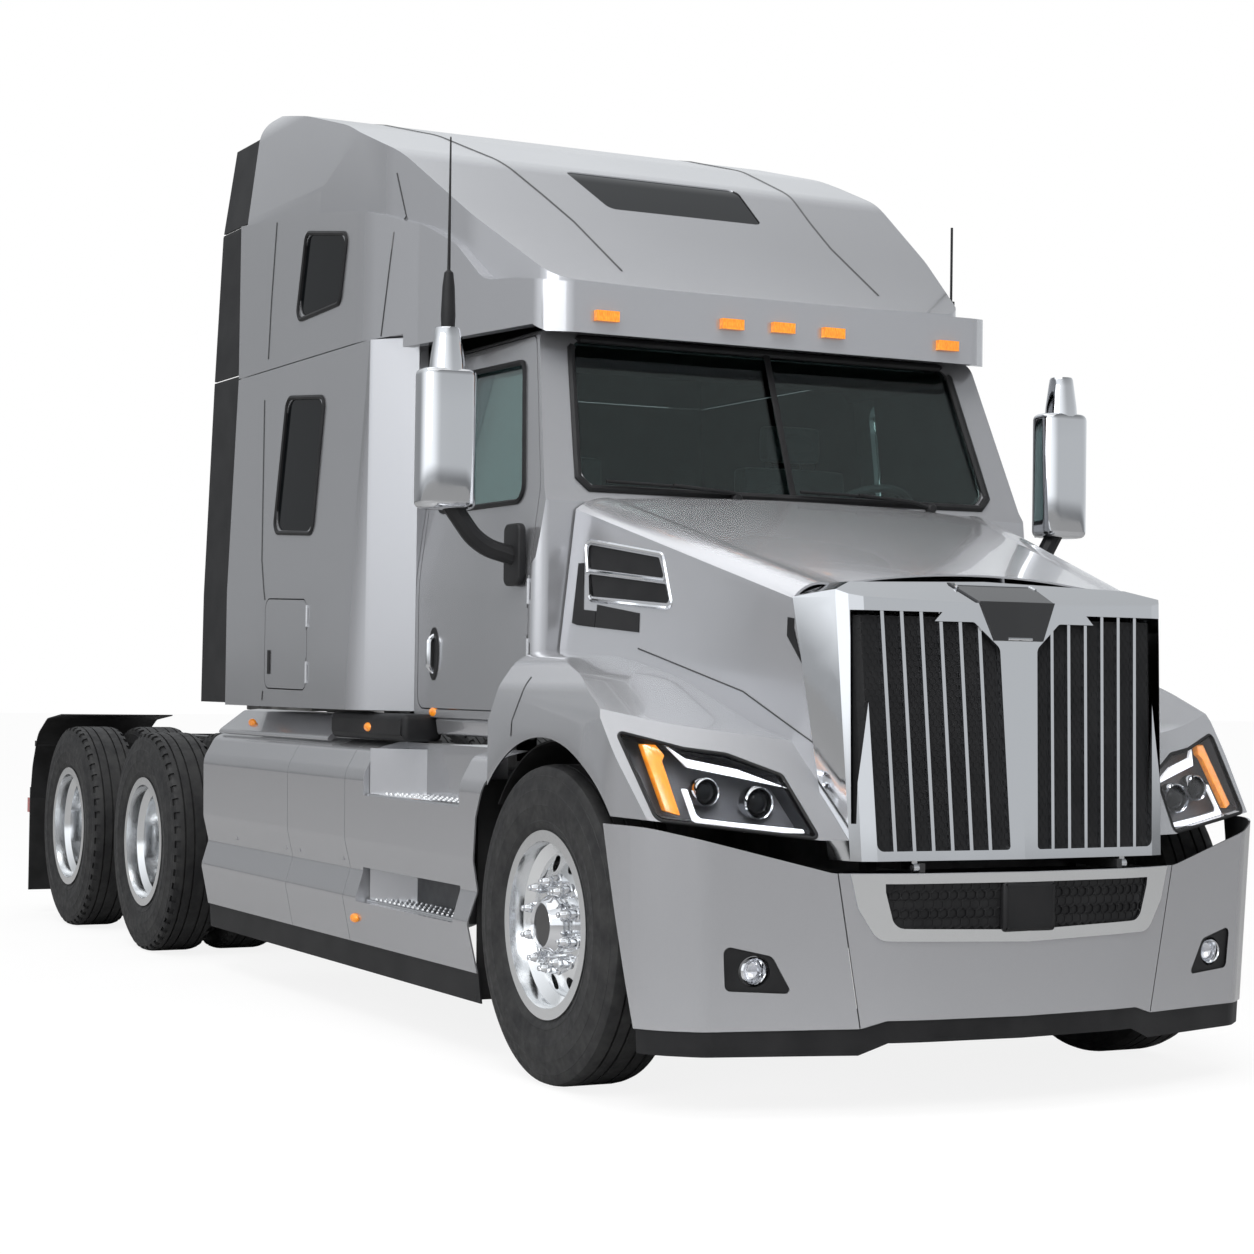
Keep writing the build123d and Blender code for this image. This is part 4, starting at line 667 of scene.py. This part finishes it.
def tyreShape(half, lugs):
    line = [(0, 0, tyre["tread"])]
    for groove in tyre["grooves"]:
        for shift, drop in tyre["groove"]:
            line.append((groove + shift, 0, tyre["tread"] - drop))
    line += [(share * half, 0, radius) for share, radius in tyre["wall"]]
    full = [(-x, y, z) for x, y, z in reversed(line[1:])] + line
    piece = turned(full, (0, 0, 0), (1, 0, 0), tyre["steps"], True)

    def shoulder(centre, normal):
        turn = round(math.degrees(math.atan2(centre.y, centre.z)) / (360 / tyre["steps"]) - 0.5)
        outer = math.hypot(centre.y, centre.z) > tyre["lugRadius"]
        return outer and tyre["lugInner"] < abs(centre.x) < half * tyre["lugOuter"] and turn % 2 == 0

    if lugs:
        pick(piece, "FACE", shoulder)
        bpy.ops.mesh.extrude_region_shrink_fatten(TRANSFORM_OT_shrink_fatten={"value": -tyre["lugDepth"]})
        leave()
    return piece


for group, (station, middles) in wheelPlaces.items():
    front = group == "front_wheel"
    for side, sign in sides.items():
        body = group + "_" + side
        made = []
        for middle in middles:
            piece = tyreShape(tyre["frontHalf" if front else "driveHalf"], not front)
            piece.location = (sign * middle, at(station), tyre["axle"])
            made.append(piece)
        stands = [n for n in nodes if "tyre" in n and bodyOf[n] == body]
        settle(joined(made), "tread_" + body, body, "rubber", *stands, smooth=24)
print("tyres ready")

# chrome nut covers and hub caps
hub = {
    "circle": 0.142, "count": 10, "frontBase": 1.154, "driveBase": 0.947, "recess": (0.067, 0.05, 0.068),
    "cover": ((0, 0.0255), (0.006, 0.0255), (0.009, 0.0195), (0.03, 0.0195), (0.04, 0.0175),
              (0.062, 0.011), (0.066, 0.0075), (0.0685, 0.0095), (0.0735, 0.0095), (0.0765, 0.006),
              (0.078, 0)),
    "frontCap": ((0, 0.098), (0.03, 0.098), (0.04, 0.094), (0.048, 0.086), (0.064, 0.08),
                 (0.07, 0.074), (0.066, 0.07), (0.06, 0.068), (0.06, 0)),
    "driveCap": ((0.12, 0.086), (0.15, 0.086), (0.158, 0.08), (0.166, 0.058), (0.17, 0.03), (0.171, 0))}
for group, (station, middles) in wheelPlaces.items():
    front = group == "front_wheel"
    for side, sign in sides.items():
        body = group + "_" + side
        base = hub["frontBase" if front else "driveBase"]
        centre = Vector((sign * base, at(station), tyre["axle"]))
        cover = lathe(hub["cover"], (0, 0, 0), "x", 18, sign)
        made = []
        for index in range(hub["count"]):
            angle = math.radians(360 / hub["count"] * index)
            place = centre + Vector((0, math.sin(angle), math.cos(angle))) * hub["circle"]
            made.append(copied(cover, place))
        bpy.data.objects.remove(cover)
        made.append(lathe(hub["frontCap" if front else "driveCap"], centre, "x", 48, sign))
        piece = settle(joined(made), "hub_trim_" + body, body, "chrome", smooth=35)
        if front:
            reach, low, high = hub["recess"]
            secondLook(piece, "gloss", lambda c, n: math.hypot(c.y - centre.y, c.z - centre.z) < reach
                       and base + low < abs(c.x) < base + high)
print("wheel trim ready")

# door mirrors: chrome head with a black rear half and recessed pane, on a chrome neck
mirror = {
    "middle": (1.32, 1.646, 2.167), "size": (0.21, 0.146, 0.49), "corner": 0.058, "edge": 0.024,
    "split": 0.035, "border": 0.012, "step": 0.004, "recess": 0.01, "paneHalf": 0.07, "paneLevel": 0.066,
    "neck": ((2.4, 0.064), (2.44, 0.061), (2.52, 0.05), (2.548, 0.046), (2.556, 0.042), (2.56, 0.0)),
    "neckStation": 1.64, "arm": ((1.075, 1.6, 1.765), (1.2, 1.622, 1.8), (1.32, 1.646, 1.97)),
    "armRadius": 0.034, "armBend": 0.06, "footX": 1.055, "footDepth": 0.03, "footEdge": 0.008,
    "foot": ((1.535, 1.66, 0.03), (1.665, 1.66, 0.03), (1.665, 1.88, 0.03), (1.535, 1.88, 0.03)),
    "whip": ((2.556, 0.0), (2.557, 0.024), (2.6, 0.026), (2.7, 0.022), (2.75, 0.016), (2.76, 0.006),
             (2.9, 0.005), (3.225, 0.003), (3.23, 0.0))}
x, station, z = mirror["middle"]
for side, sign in sides.items():
    body = "cab_door_" + side
    head = cube((sign * x, at(station), z), mirror["size"])
    pick(head, "EDGE", lambda a, b: abs(a.z - b.z) > 0.3)
    bpy.ops.mesh.bevel(offset=mirror["corner"], segments=8, affect="EDGES")
    leave()
    pick(head, "EDGE", lambda a, b: abs(a.z - b.z) < 1e-4)
    bpy.ops.mesh.bevel(offset=mirror["edge"], segments=4, affect="EDGES")
    leave()
    edit(head)
    bpy.ops.mesh.bisect(plane_co=(0, at(station) + mirror["split"], 0), plane_no=(0, 1, 0))
    leave()
    panelled(head, lambda c, n: n.y > 0.95, mirror["border"], mirror["step"], mirror["recess"])
    settle(head, "mirror_head_" + side, body, "chrome", "mirror_" + side)
    secondLook(head, "black", lambda c, n: c.y > at(station) + mirror["split"])
    secondLook(head, "chrome", lambda c, n: n.y > 0.95 and abs(abs(c.x) - x) < mirror["paneHalf"]
               and c.y < at(station) + mirror["paneLevel"])
    neck = lathe(mirror["neck"], (sign * x, at(mirror["neckStation"]), 0), "z", 32)
    settle(neck, "mirror_neck_" + side, body, "chrome")
    arm = tube([(sign * a, at(s), up) for a, s, up in mirror["arm"]], mirror["armRadius"],
               bend=mirror["armBend"])
    foot = slab([(sign * mirror["footX"], at(s), up) for s, up in rounded(mirror["foot"])],
                (sign * mirror["footDepth"], 0, 0))
    soften(foot, mirror["footEdge"], 3)
    settle(joined([arm, foot]), "mirror_arm_" + side, body, "black")
whip = lathe(mirror["whip"], (-x, at(mirror["neckStation"]), 0), "z", 20)
settle(whip, "mirror_antenna", "cab_door_right", "black")
print("mirrors ready")

# headlamps: dark bucket, light bars, two projectors and an amber side lamp behind the clear lens
headlamp = {
    "corner": (0.69, 0.147, 0.849), "slopes": (0.35, 0.75), "bucketDepth": 0.075, "rim": 0.006,
    "outline": ((0.69, 0.852, 0.014), (1.15, 0.905, 0.025), (1.185, 1.172, 0.014),
                (1.0, 1.12, 0.06), (0.88, 1.104, 0.06), (0.735, 1.042, 0.014)),
    "projectors": ((0.964, 0.987, 0.042), (0.818, 0.956, 0.048)),
    "ring": ((0.05, 0.72), (0.012, 0.8), (0.0, 0.9), (-0.006, 1.0), (0.0, 1.08), (0.04, 1.08)),
    "amber": ((1.117, 1.133), (1.075, 1.132), (1.058, 1.099), (1.071, 1.082), (1.07, 0.917),
              (1.111, 0.931)),
    "upperBar": ((1.046, 1.132), (0.997, 1.089), (0.853, 1.058), (0.718, 1.001), (0.872, 1.035),
                 (1.0, 1.062)),
    "lowerBar": ((1.037, 0.998), (1.022, 0.996), (1.021, 0.922), (1.011, 0.909), (0.908, 0.897),
                 (0.719, 0.879), (0.718, 0.867), (0.895, 0.869), (1.019, 0.888), (1.036, 0.902))}


def lampPoint(sign, x, z, depth):
    cornerX, station, cornerZ = headlamp["corner"]
    across, up = headlamp["slopes"]
    return Vector((sign * x, at(station + across * (x - cornerX) + up * (z - cornerZ) + depth), z))


# a lamp part cut out behind the lens: its outline, distance behind, thickness and softened edge
def lampSlab(sign, outline, depth, thickness, edge):
    piece = slab([lampPoint(sign, x, z, depth) for x, z in outline], (0, thickness, 0))
    if edge:
        soften(piece, edge, 2)
    return piece


for side, sign in sides.items():
    body = "hood_body"
    outline = rounded(headlamp["outline"])
    bucket = lampSlab(sign, grown(outline, -0.012), 0.012, headlamp["bucketDepth"] + 0.03, 0)
    pick(bucket, "FACE", lambda c, n: n.y < -0.5)
    bpy.ops.mesh.inset(thickness=headlamp["rim"])
    bpy.ops.transform.translate(value=(0, headlamp["bucketDepth"], 0))
    leave()
    settle(bucket, "headlamp_bucket_" + side, body, "satin", "headlamp_housings",
           slot="gloss_black")
    bars = [lampSlab(sign, headlamp[key], 0.018, 0.016, 0.003) for key in ("upperBar", "lowerBar")]
    settle(joined(bars), "headlamp_bars_" + side, body, "lightBar")
    turnLamp = lampSlab(sign, headlamp["amber"], 0.014, 0.03, 0.004)
    settle(turnLamp, "headlamp_amber_" + side, body, "amber")
    rings, balls = [], []
    for x, z, radius in headlamp["projectors"]:
        centre = lampPoint(sign, x, z, 0.03)
        rings.append(lathe([(y, r * radius) for y, r in headlamp["ring"]], centre, "y", 36))
        turns = [math.radians(t) for t in range(0, 91, 15)]
        ball = [(0.02 - radius * 0.55 * math.cos(t), radius * 0.78 * math.sin(t)) for t in turns]
        balls.append(lathe(ball, centre, "y", 36))
    settle(joined(rings), "projector_rings_" + side, body, "chrome")
    settle(joined(balls), "projector_glass_" + side, body, "darkGlass")
    gasket = tube([lampPoint(sign, x, z, 0.002) for x, z in grown(outline, 0.001)], 0.006, True)
    settle(gasket, "headlamp_gasket_" + side, body, "black")
print("headlamps ready")


# honeycomb patches
def honeycomb(low, high, cell, wall=0.16):
    across, up = cell * math.sqrt(3), cell * 3
    columns = int((high[0] - low[0]) / across) + 1
    rows = int((high[1] - low[1]) / up) + 1
    pair = []
    for shiftX, shiftZ in ((0, 0), (across / 2, 1.5 * cell)):
        corners = [(low[0] + shiftX + cell * math.sin(math.radians(60 * k)),
                    low[1] + shiftZ + cell * math.cos(math.radians(60 * k))) for k in range(6)]
        hexagon = wire(onFront(corners))
        edit(hexagon)
        bpy.ops.mesh.edge_face_add()
        leave()
        pair.append(hexagon)
    piece = joined(pair)
    for count, offset in ((columns, (across, 0, 0)), (rows, (0, 0, up))):
        repeated(piece, count, offset, use_merge_vertices=True, merge_threshold=cell * 0.05)
    edit(piece)
    bpy.ops.mesh.inset(thickness=cell * wall, use_individual=True)
    leave()
    pick(piece, "FACE", lambda c, n: False)
    leave()
    for face in piece.data.polygons:
        face.select = len(face.vertices) == 6  # the middles, which open up
    bpy.ops.object.mode_set(mode="EDIT")
    bpy.ops.mesh.select_mode(type="FACE")
    bpy.ops.mesh.delete(type="FACE")
    leave()
    return piece


grille = {
    "meshLow": (-0.66, 0.8), "meshHigh": (0.66, 1.64), "meshCell": 0.0125, "lowerLow": (-0.5, 0.565),
    "lowerHigh": (0.5, 0.715), "lowerCell": 0.019, "lowerDepth": 0.003, "lift": 0.002,
    "badge": ((-0.152, 1.48, 0.012), (0.152, 1.48, 0.012), (0.152, 1.655, 0.012), (-0.152, 1.655, 0.012)),
    "border": 0.005}
screen = honeycomb(grille["meshLow"], grille["meshHigh"], grille["meshCell"])
projected(screen, nodes["grille_mesh"], "y", grille["lift"])
settle(screen, "grille_honeycomb", "hood_body", "black", smooth=0)
lower = honeycomb(grille["lowerLow"], grille["lowerHigh"], grille["lowerCell"])
projected(lower, nodes["lower_grille"], "y", grille["lift"])
modify(lower, "SOLIDIFY", thickness=grille["lowerDepth"], offset=1)
settle(lower, "lower_honeycomb", "chassis", "black", smooth=0)
border = lineOn(nodes["badge_plate"], onFront(rounded(grille["badge"])), "y", grille["border"], True, 2)
settle(border, "badge_border", "hood_body", "chrome")
print("grille ready")

# windshield: black gasket, centre divider and two wipers
screenGlass = {
    "gasket": ((-0.832, 2.008), (0.832, 2.008), (0.872, 2.048), (0.818, 2.526), (0.778, 2.566),
               (-0.778, 2.566), (-0.818, 2.526), (-0.872, 2.048)), "gasketRadius": 0.015,
    "divider": ((-0.013, 2.012), (0.013, 2.012), (0.013, 2.562), (-0.013, 2.562)),
    "foot": (1.486, 2.005), "lean": 0.222 / 0.575, "dividerDepth": 0.006,
    "boss": ((0, 0.02), (-0.018, 0.02), (-0.026, 0.014), (-0.027, 0.0)),
    "wipers": (((-0.774, 1.481, 2.036), (-0.254, 1.47, 2.016), (-0.254, 1.462, 1.996)),
               ((0.024, 1.48, 2.034), (0.511, 1.472, 2.018), (0.588, 1.462, 1.996)))}
gasket = wire(onFront(screenGlass["gasket"]))
edit(gasket)
bpy.ops.mesh.subdivide(number_cuts=4)
leave()
gasket = thickened(projected(gasket, nodes["cab_shell"], "y"), screenGlass["gasketRadius"], 2)
settle(gasket, "windshield_gasket", "chassis", "black")
station, level = screenGlass["foot"]
lean = screenGlass["lean"]
divider = slab([(x, at(station) + (z - level) * lean, z) for x, z in screenGlass["divider"]],
               (0, -screenGlass["dividerDepth"], 0))
soften(divider, 0.002, 2)
settle(divider, "windshield_divider", "chassis", "black")
wipers = []
for inner, outer, pivot in screenGlass["wipers"]:
    start, end, foot = (Vector((x, at(station) - 0.004, z)) for x, station, z in (inner, outer, pivot))
    wipers.append(tube([start, (start + end) / 2 + Vector((0, -0.004, 0.004)), end], 0.006, bend=0.05))
    elbow = start.lerp(end, 0.5) + Vector((0, -0.012, 0.006))
    wipers.append(tube([elbow, end + Vector((0, -0.014, -0.002)), foot], 0.007, bend=0.02))
    wipers.append(lathe(screenGlass["boss"], foot + Vector((0, 0.012, 0)), "y", 20))
settle(joined(wipers), "wipers", "chassis", "black")
print("windshield ready")

# seals, seams and small fittings on the painted panels: panel, finish, shape, width, cuts and outline
handle = {"station": 2.36, "z": 1.425, "halfWide": 0.042, "halfHigh": 0.096}
oval = [(handle["station"] + handle["halfWide"] * math.cos(math.radians(a)),
         handle["z"] + handle["halfHigh"] * math.sin(math.radians(a))) for a in range(0, 360, 20)]
sideTrims = (
    ("door_", "black", "ring", 0.011, 2, rounded([
        (1.64, 1.965, 0.05), (1.8, 2.482, 0.05), (2.402, 2.49, 0.05), (2.422, 1.965, 0.05)])),
    ("door_", "black", "patch", 0.008, 1, oval),
    ("door_", "black", "ring", 0.006, 1, oval),
    ("door_", "chrome", "grip", 0.012, 0, (
        (1.05, 2.36, 1.491), (1.07, 2.36, 1.477), (1.07, 2.36, 1.373), (1.05, 2.36, 1.359))),
    ("sleeper_shell", "black", "ring", 0.01, 2, rounded([
        (3.262, 1.915, 0.05), (3.2, 2.47, 0.05), (3.655, 2.508, 0.05), (3.735, 1.94, 0.05)])),
    ("roof_cap", "black", "ring", 0.01, 2, rounded([
        (3.067, 2.835, 0.04), (2.992, 3.105, 0.04), (3.47, 3.178, 0.04), (3.573, 2.822, 0.04)])),
    ("sleeper_shell", "seam", "line", 0.0035, 6, ((3.954, 2.525), (3.875, 1.83), (3.813, 1.657))),
    ("sleeper_shell", "seam", "line", 0.0035, 6, ((3.822, 1.27), (3.83, 1.231))),
    ("roof_cap", "seam", "line", 0.0035, 6, ((3.845, 3.28), (3.9, 2.95), (3.929, 2.7))),
    ("roof_cap", "seam", "line", 0.0035, 6, ((2.678, 3.3), (2.606, 3.121), (2.694, 2.66))),
    ("roof_cap", "seam", "roof", 0.004, 6, (
        (0.56, 1.8), (0.575, 2.18), (0.61, 2.4), (0.66, 2.65), (0.7, 2.95), (0.74, 3.3), (0.76, 4.2))),
    ("locker_door_", "black", "patch", 0.005, 1, (
        (3.732, 1.343), (3.762, 1.343), (3.762, 1.443), (3.732, 1.443))),
    ("hood", "chrome", "ring", 0.007, 3, rounded([
        (1.377, 1.819, 0.02), (0.969, 1.757, 0.02), (0.907, 1.573, 0.02), (1.324, 1.609, 0.02)], 3)),
    ("hood", "chrome", "line", 0.006, 8, ((1.34, 1.709), (0.955, 1.668))),
    ("hood", "seam", "line", 0.003, 6, ((1.234, 1.34), (1.25, 1.22), (1.258, 1.14))),
    ("hood", "seam", "line", 0.003, 12, ((1.066, 1.441), (0.571, 1.302), (0.238, 1.129))),
    ("hood", "black", "patch", 0.004, 2, ((0.349, 1.568), (0.267, 1.555), (0.177, 1.224), (0.36, 1.48))),
    ("hood", "black", "patch", 0.004, 3, (
        (1.4, 1.738), (1.4, 1.53), (1.373, 1.522), (1.286, 1.514), (1.286, 1.738))),
    ("hood", "black", "patch", 0.004, 3, ((1.282, 1.592), (1.282, 1.514), (1.066, 1.495), (1.069, 1.56))),
)


def trimOf(node, shape, width, cuts, points, sign):
    if shape == "grip":
        return tube([(sign * x, at(station), z) for x, station, z in points], width, bend=width)
    if shape == "roof":
        line = onTop([(sign * x, station) for x, station in points])
        return lineOn(dressed[node], line, "z", width, False, cuts)
    if shape == "patch":
        return patchOn(dressed[node], onSide(sign, points), "x", width, cuts)
    return lineOn(dressed[node], onSide(sign, points), "x", width, shape == "ring", cuts)


trims = {}
for side, sign in sides.items():
    for panel, finish, *made in sideTrims:
        node = panel + side if panel.endswith("_") else panel
        trims.setdefault((bodyOf[node], finish), []).append(trimOf(node, *made, sign))
for (body, finish), pieces in trims.items():
    settle(joined(pieces), finish + "_trim_" + body, body, "gloss" if finish == "seam" else finish)
print("trims ready")

# steps in the side fairings: bright treads with raised cones, dark risers, side wedges and lamps
step = {
    "treads": ((0.88, 1.7, 2.62, 1.22), (0.47, 1.74, 2.68, 1.19)), "inner": 1.05,
    "setIn": 0.012, "end": 0.01, "foot": 0.001, "top": 0.009, "nosing": 0.007, "pitch": 0.046,
    "cone": 0.008, "coneTop": 0.55, "coneHeight": 0.006, "riserInner": 1.044, "riser": (0.01, 0.19),
    "wedge": (1.046, 0.02, 0.005, 0.2, 0.172), "lampSize": (0.014, 0.036, 0.018),
    "lamps": ((4.229, 1.128, 1.125), (2.74, 1.14, 1.162), (2.713, 0.402, 1.217), (2.367, 1.205, 1.045))}
for side, sign in sides.items():
    plates, risers, wedges, small = [], [], [], []
    for z, first, last, out in step["treads"]:
        edge = sign * (out - step["setIn"])
        front, rear = at(first + step["end"]), at(last - step["end"])
        near, far = sorted((sign * step["inner"], edge))
        plates.append(block((near, front, z + step["foot"]), (far, rear, z + step["top"]), 0.003, 2))
        clear()
        bpy.ops.mesh.primitive_cone_add(
            vertices=8, radius1=step["cone"], radius2=step["cone"] * step["coneTop"],
            depth=step["coneHeight"],
            location=(sign * (step["inner"] + 0.025), at(first + 0.04), z + 0.0115))
        cones = applied()
        repeated(cones, 3, (sign * step["pitch"], 0, 0))
        repeated(cones, int((last - first - 0.06) / step["pitch"]), (0, step["pitch"], 0))
        plates.append(cones)
        plates.append(tube([(edge, front, z + 0.002), (edge, rear, z + 0.002)], step["nosing"]))
    settle(joined(plates), "step_treads_" + side, "chassis", "polished")
    for z, first, last, out in step["treads"][1:]:
        near, far = sorted((sign * step["riserInner"], sign * step["inner"]))
        low, high = step["riser"]
        risers.append(block((near, at(first), z + low), (far, at(last), z + high), 0.001, 1))
    settle(joined(risers), "step_risers_" + side, "chassis", "satin")
    inner, setIn, gap, reach, height = step["wedge"]
    for z, first, last, out in step["treads"]:
        corners = ((inner, last - gap), (out - setIn, last - gap), (inner, last - reach))
        wedges.append(slab([(sign * x, at(s), z + step["top"]) for x, s in corners], (0, 0, height)))
    settle(joined(wedges), "step_wedges_" + side, "chassis", "silver")
    for station, z, x in step["lamps"]:
        clear()
        bpy.ops.mesh.primitive_uv_sphere_add(segments=20, ring_count=10, radius=1,
                                             location=(sign * x, at(station), z), scale=step["lampSize"])
        small.append(applied())
    settle(joined(small), "side_lamps_" + side, "chassis", "amber")
print("steps ready")

# fog lamps: a bright bowl round each clear dome
fog = {
    "middle": (0.885, 0.205, 0.448),
    "bowl": ((0.004, 0.044), (-0.004, 0.04), (0.004, 0.034), (0.026, 0.026), (0.036, 0.0))}
for side, sign in sides.items():
    x, station, z = fog["middle"]
    bowl = lathe(fog["bowl"], (sign * x, at(station), z), "y", 32)
    settle(bowl, "fog_bowl_" + side, "chassis", "chrome")
print("fog lamps ready")

# sills, shelf and black box between cab and side fairings, wheel-arch liners, brake drums and sensor
under = {
    "sillRun": (1.55, 2.36), "shelfRun": (3.17, 4.56),
    "sill": ((1.0, 1.12, 0.01), (1.03, 1.12, 0.012), (1.04, 1.185, 0.012), (1.0, 1.185, 0.01)),
    "shelf": ((0.98, 1.185, 0.004), (1.05, 1.178, 0.03), (1.165, 1.092, 0.03), (1.17, 1.078, 0.004),
              (1.155, 1.072, 0.004), (1.045, 1.16, 0.03), (0.98, 1.168, 0.004)),
    "box": (1.0, 1.16, 2.38, 3.16, 1.092, 1.195), "boxEdge": 0.022,
    "archInner": 0.66, "archOuter": 1.165, "archRadius": 0.605, "archThickness": 0.006,
    "archStart": 38, "archSweep": 104, "archSteps": 28,
    "panel": ((0.72, 0.21), (1.18, 0.21), (1.186, 0.98), (0.72, 0.98)), "panelStation": 1.622,
    "panelDepth": 0.01, "frontDrum": 1.085, "driveDrum": 0.885,
    "drum": ((0.0, 0.1), (0.0, 0.2), (-0.006, 0.225), (-0.05, 0.245), (-0.05, 0.235), (-0.012, 0.21),
             (-0.006, 0.1)),
    "sensor": (0.1, 0.004, 0.045, 0.56, 0.718), "sensorEdge": 0.012}


def rail(sign, outline, run):
    first, last = run
    return slab([(sign * x, at(first), z) for x, z in rounded(outline, 4)], (0, last - first, 0))


frontAxle = wheelPlaces["front_wheel"][0]
for side, sign in sides.items():
    rails = [rail(sign, under["sill"], under["sillRun"]), rail(sign, under["shelf"], under["shelfRun"])]
    settle(joined(rails), "sill_" + side, "chassis", "silver")
    inner, outer, first, last, low, high = under["box"]
    near, far = sorted((sign * inner, sign * outer))
    box = block((near, at(first), low), (far, at(last), high), under["boxEdge"], 4)
    panelled(box, lambda c, n: n.x * sign > 0.95, 0.012, 0.003, 0.004)
    settle(box, "under_box_" + side, "chassis", "black")
    radius, half, start = under["archRadius"], under["archThickness"] / 2, math.radians(under["archStart"])
    arch = wire([(sign * x, at(frontAxle) + (radius + r) * math.cos(start),
                  tyre["axle"] + (radius + r) * math.sin(start))
                 for x, r in ((under["archInner"], -half), (under["archOuter"], -half),
                              (under["archOuter"], half), (under["archInner"], half))])
    edit(arch)
    bpy.ops.mesh.edge_face_add()
    bpy.ops.mesh.spin(steps=under["archSteps"], angle=-math.radians(under["archSweep"]),
                      center=(0, at(frontAxle), tyre["axle"]), axis=(1, 0, 0))
    bpy.ops.mesh.select_all(action="SELECT")
    bpy.ops.mesh.remove_doubles(threshold=0.0001)
    outward()
    settle(arch, "arch_liner_" + side, "hood_body", "flap")
    panel = slab([(sign * x, at(under["panelStation"]), z) for x, z in under["panel"]],
                 (0, under["panelDepth"], 0))
    soften(panel, 0.003, 2)
    settle(panel, "arch_panel_" + side, "chassis", "flap")
for group, (station, middles) in wheelPlaces.items():
    for side, sign in sides.items():
        face = under["frontDrum" if group == "front_wheel" else "driveDrum"]
        drum = lathe(under["drum"], (sign * face, at(station), tyre["axle"]), "x", 48, sign, True)
        settle(drum, "brake_drum_" + group + "_" + side, group + "_" + side, "chassis")
half, first, last, low, high = under["sensor"]
sensor = block((-half, at(first), low), (half, at(last), high), under["sensorEdge"], 4)
panelled(sensor, lambda c, n: n.y < -0.95, 0.01, 0.002, 0.002)
settle(sensor, "front_sensor", "chassis", "black")
print("underside pieces ready")

# seats and bunk: crowned cushions with a sewn channel, on moulded bases
seat = {
    "middle": 0.56, "half": 0.25, "crown": 0.018, "headCrown": 0.01, "bunkCrown": 0.02, "crownShare": 0.6,
    "channel": 0.008, "channelWidth": 0.012, "corner": 0.03, "roundTop": 0.05, "edge": 0.022,
    "postShift": 0.06, "postRadius": 0.006, "postStation": 2.465, "post": (2.2, 2.26), "fill": 0.7}


def cushion(low, high, top, crown):
    piece = cubeBetween(low, high)
    pick(piece, "FACE", lambda c, n: n.dot(Vector(top)) > 0.9)
    bpy.ops.mesh.inset(thickness=seat["corner"])
    bpy.ops.mesh.inset(thickness=seat["channelWidth"], depth=-seat["channel"])
    bpy.ops.mesh.inset(thickness=seat["channelWidth"], depth=seat["channel"])
    bpy.ops.mesh.inset(thickness=seat["roundTop"], depth=crown * seat["crownShare"])
    leave()

    def atCorner(point):
        return all(min(abs(point[k] - low[k]), abs(point[k] - high[k])) < 1e-4 for k in range(3))

    pick(piece, "EDGE", lambda a, b: atCorner(a) and atCorner(b))
    bpy.ops.mesh.bevel(offset=seat["edge"], segments=2, affect="EDGES")
    leave()
    modify(piece, "SUBSURF", levels=3, render_levels=3)
    return piece


for side, sign in sides.items():
    x0, x1 = sorted((sign * (seat["middle"] - seat["half"]), sign * (seat["middle"] + seat["half"])))
    cushions = {"seat_cushion_": ((x0, at(1.995), 1.46), (x1, at(2.44), 1.575), (0, 0, 1), seat["crown"]),
                "seat_back_": ((x0 + 0.01, at(2.405), 1.56), (x1 - 0.01, at(2.52), 2.21), (0, -1, 0),
                               seat["crown"]),
                "seat_headrest_": ((x0 + 0.12, at(2.42), 2.235), (x1 - 0.12, at(2.505), 2.385), (0, -1, 0),
                                   seat["headCrown"])}
    for name, shape in cushions.items():
        piece = cushion(*shape)
        settle(piece, name + side, "chassis", "fabric", "seats", smooth=60)
    base = block((x0 + 0.04, at(2.03), 1.235), (x1 - 0.04, at(2.45), 1.455), 0.03, 3)
    panelled(base, lambda c, n: abs(n.x) > 0.95, 0.03, 0.006, 0.008)
    posts = [tube([(sign * seat["middle"] + shift, at(seat["postStation"]), z) for z in seat["post"]],
                  seat["postRadius"]) for shift in (-seat["postShift"], seat["postShift"])]
    settle(joined([base, *posts]), "seat_base_" + side, "chassis", "inside")
mattress = cushion((-1.12, at(3.36), 1.5), (1.12, at(4.27), 1.675), (0, 0, 1), seat["bunkCrown"])
settle(mattress, "bunk_mattress", "chassis", "fabric", "bunk", smooth=60)
bunkBase = block((-1.12, at(3.37), 1.255), (1.12, at(4.27), 1.495), 0.012, 3)
panelled(bunkBase, lambda c, n: n.y < -0.95, 0.04, 0.006, 0.008)
settle(bunkBase, "bunk_base", "chassis", "inside")
print("interior ready")
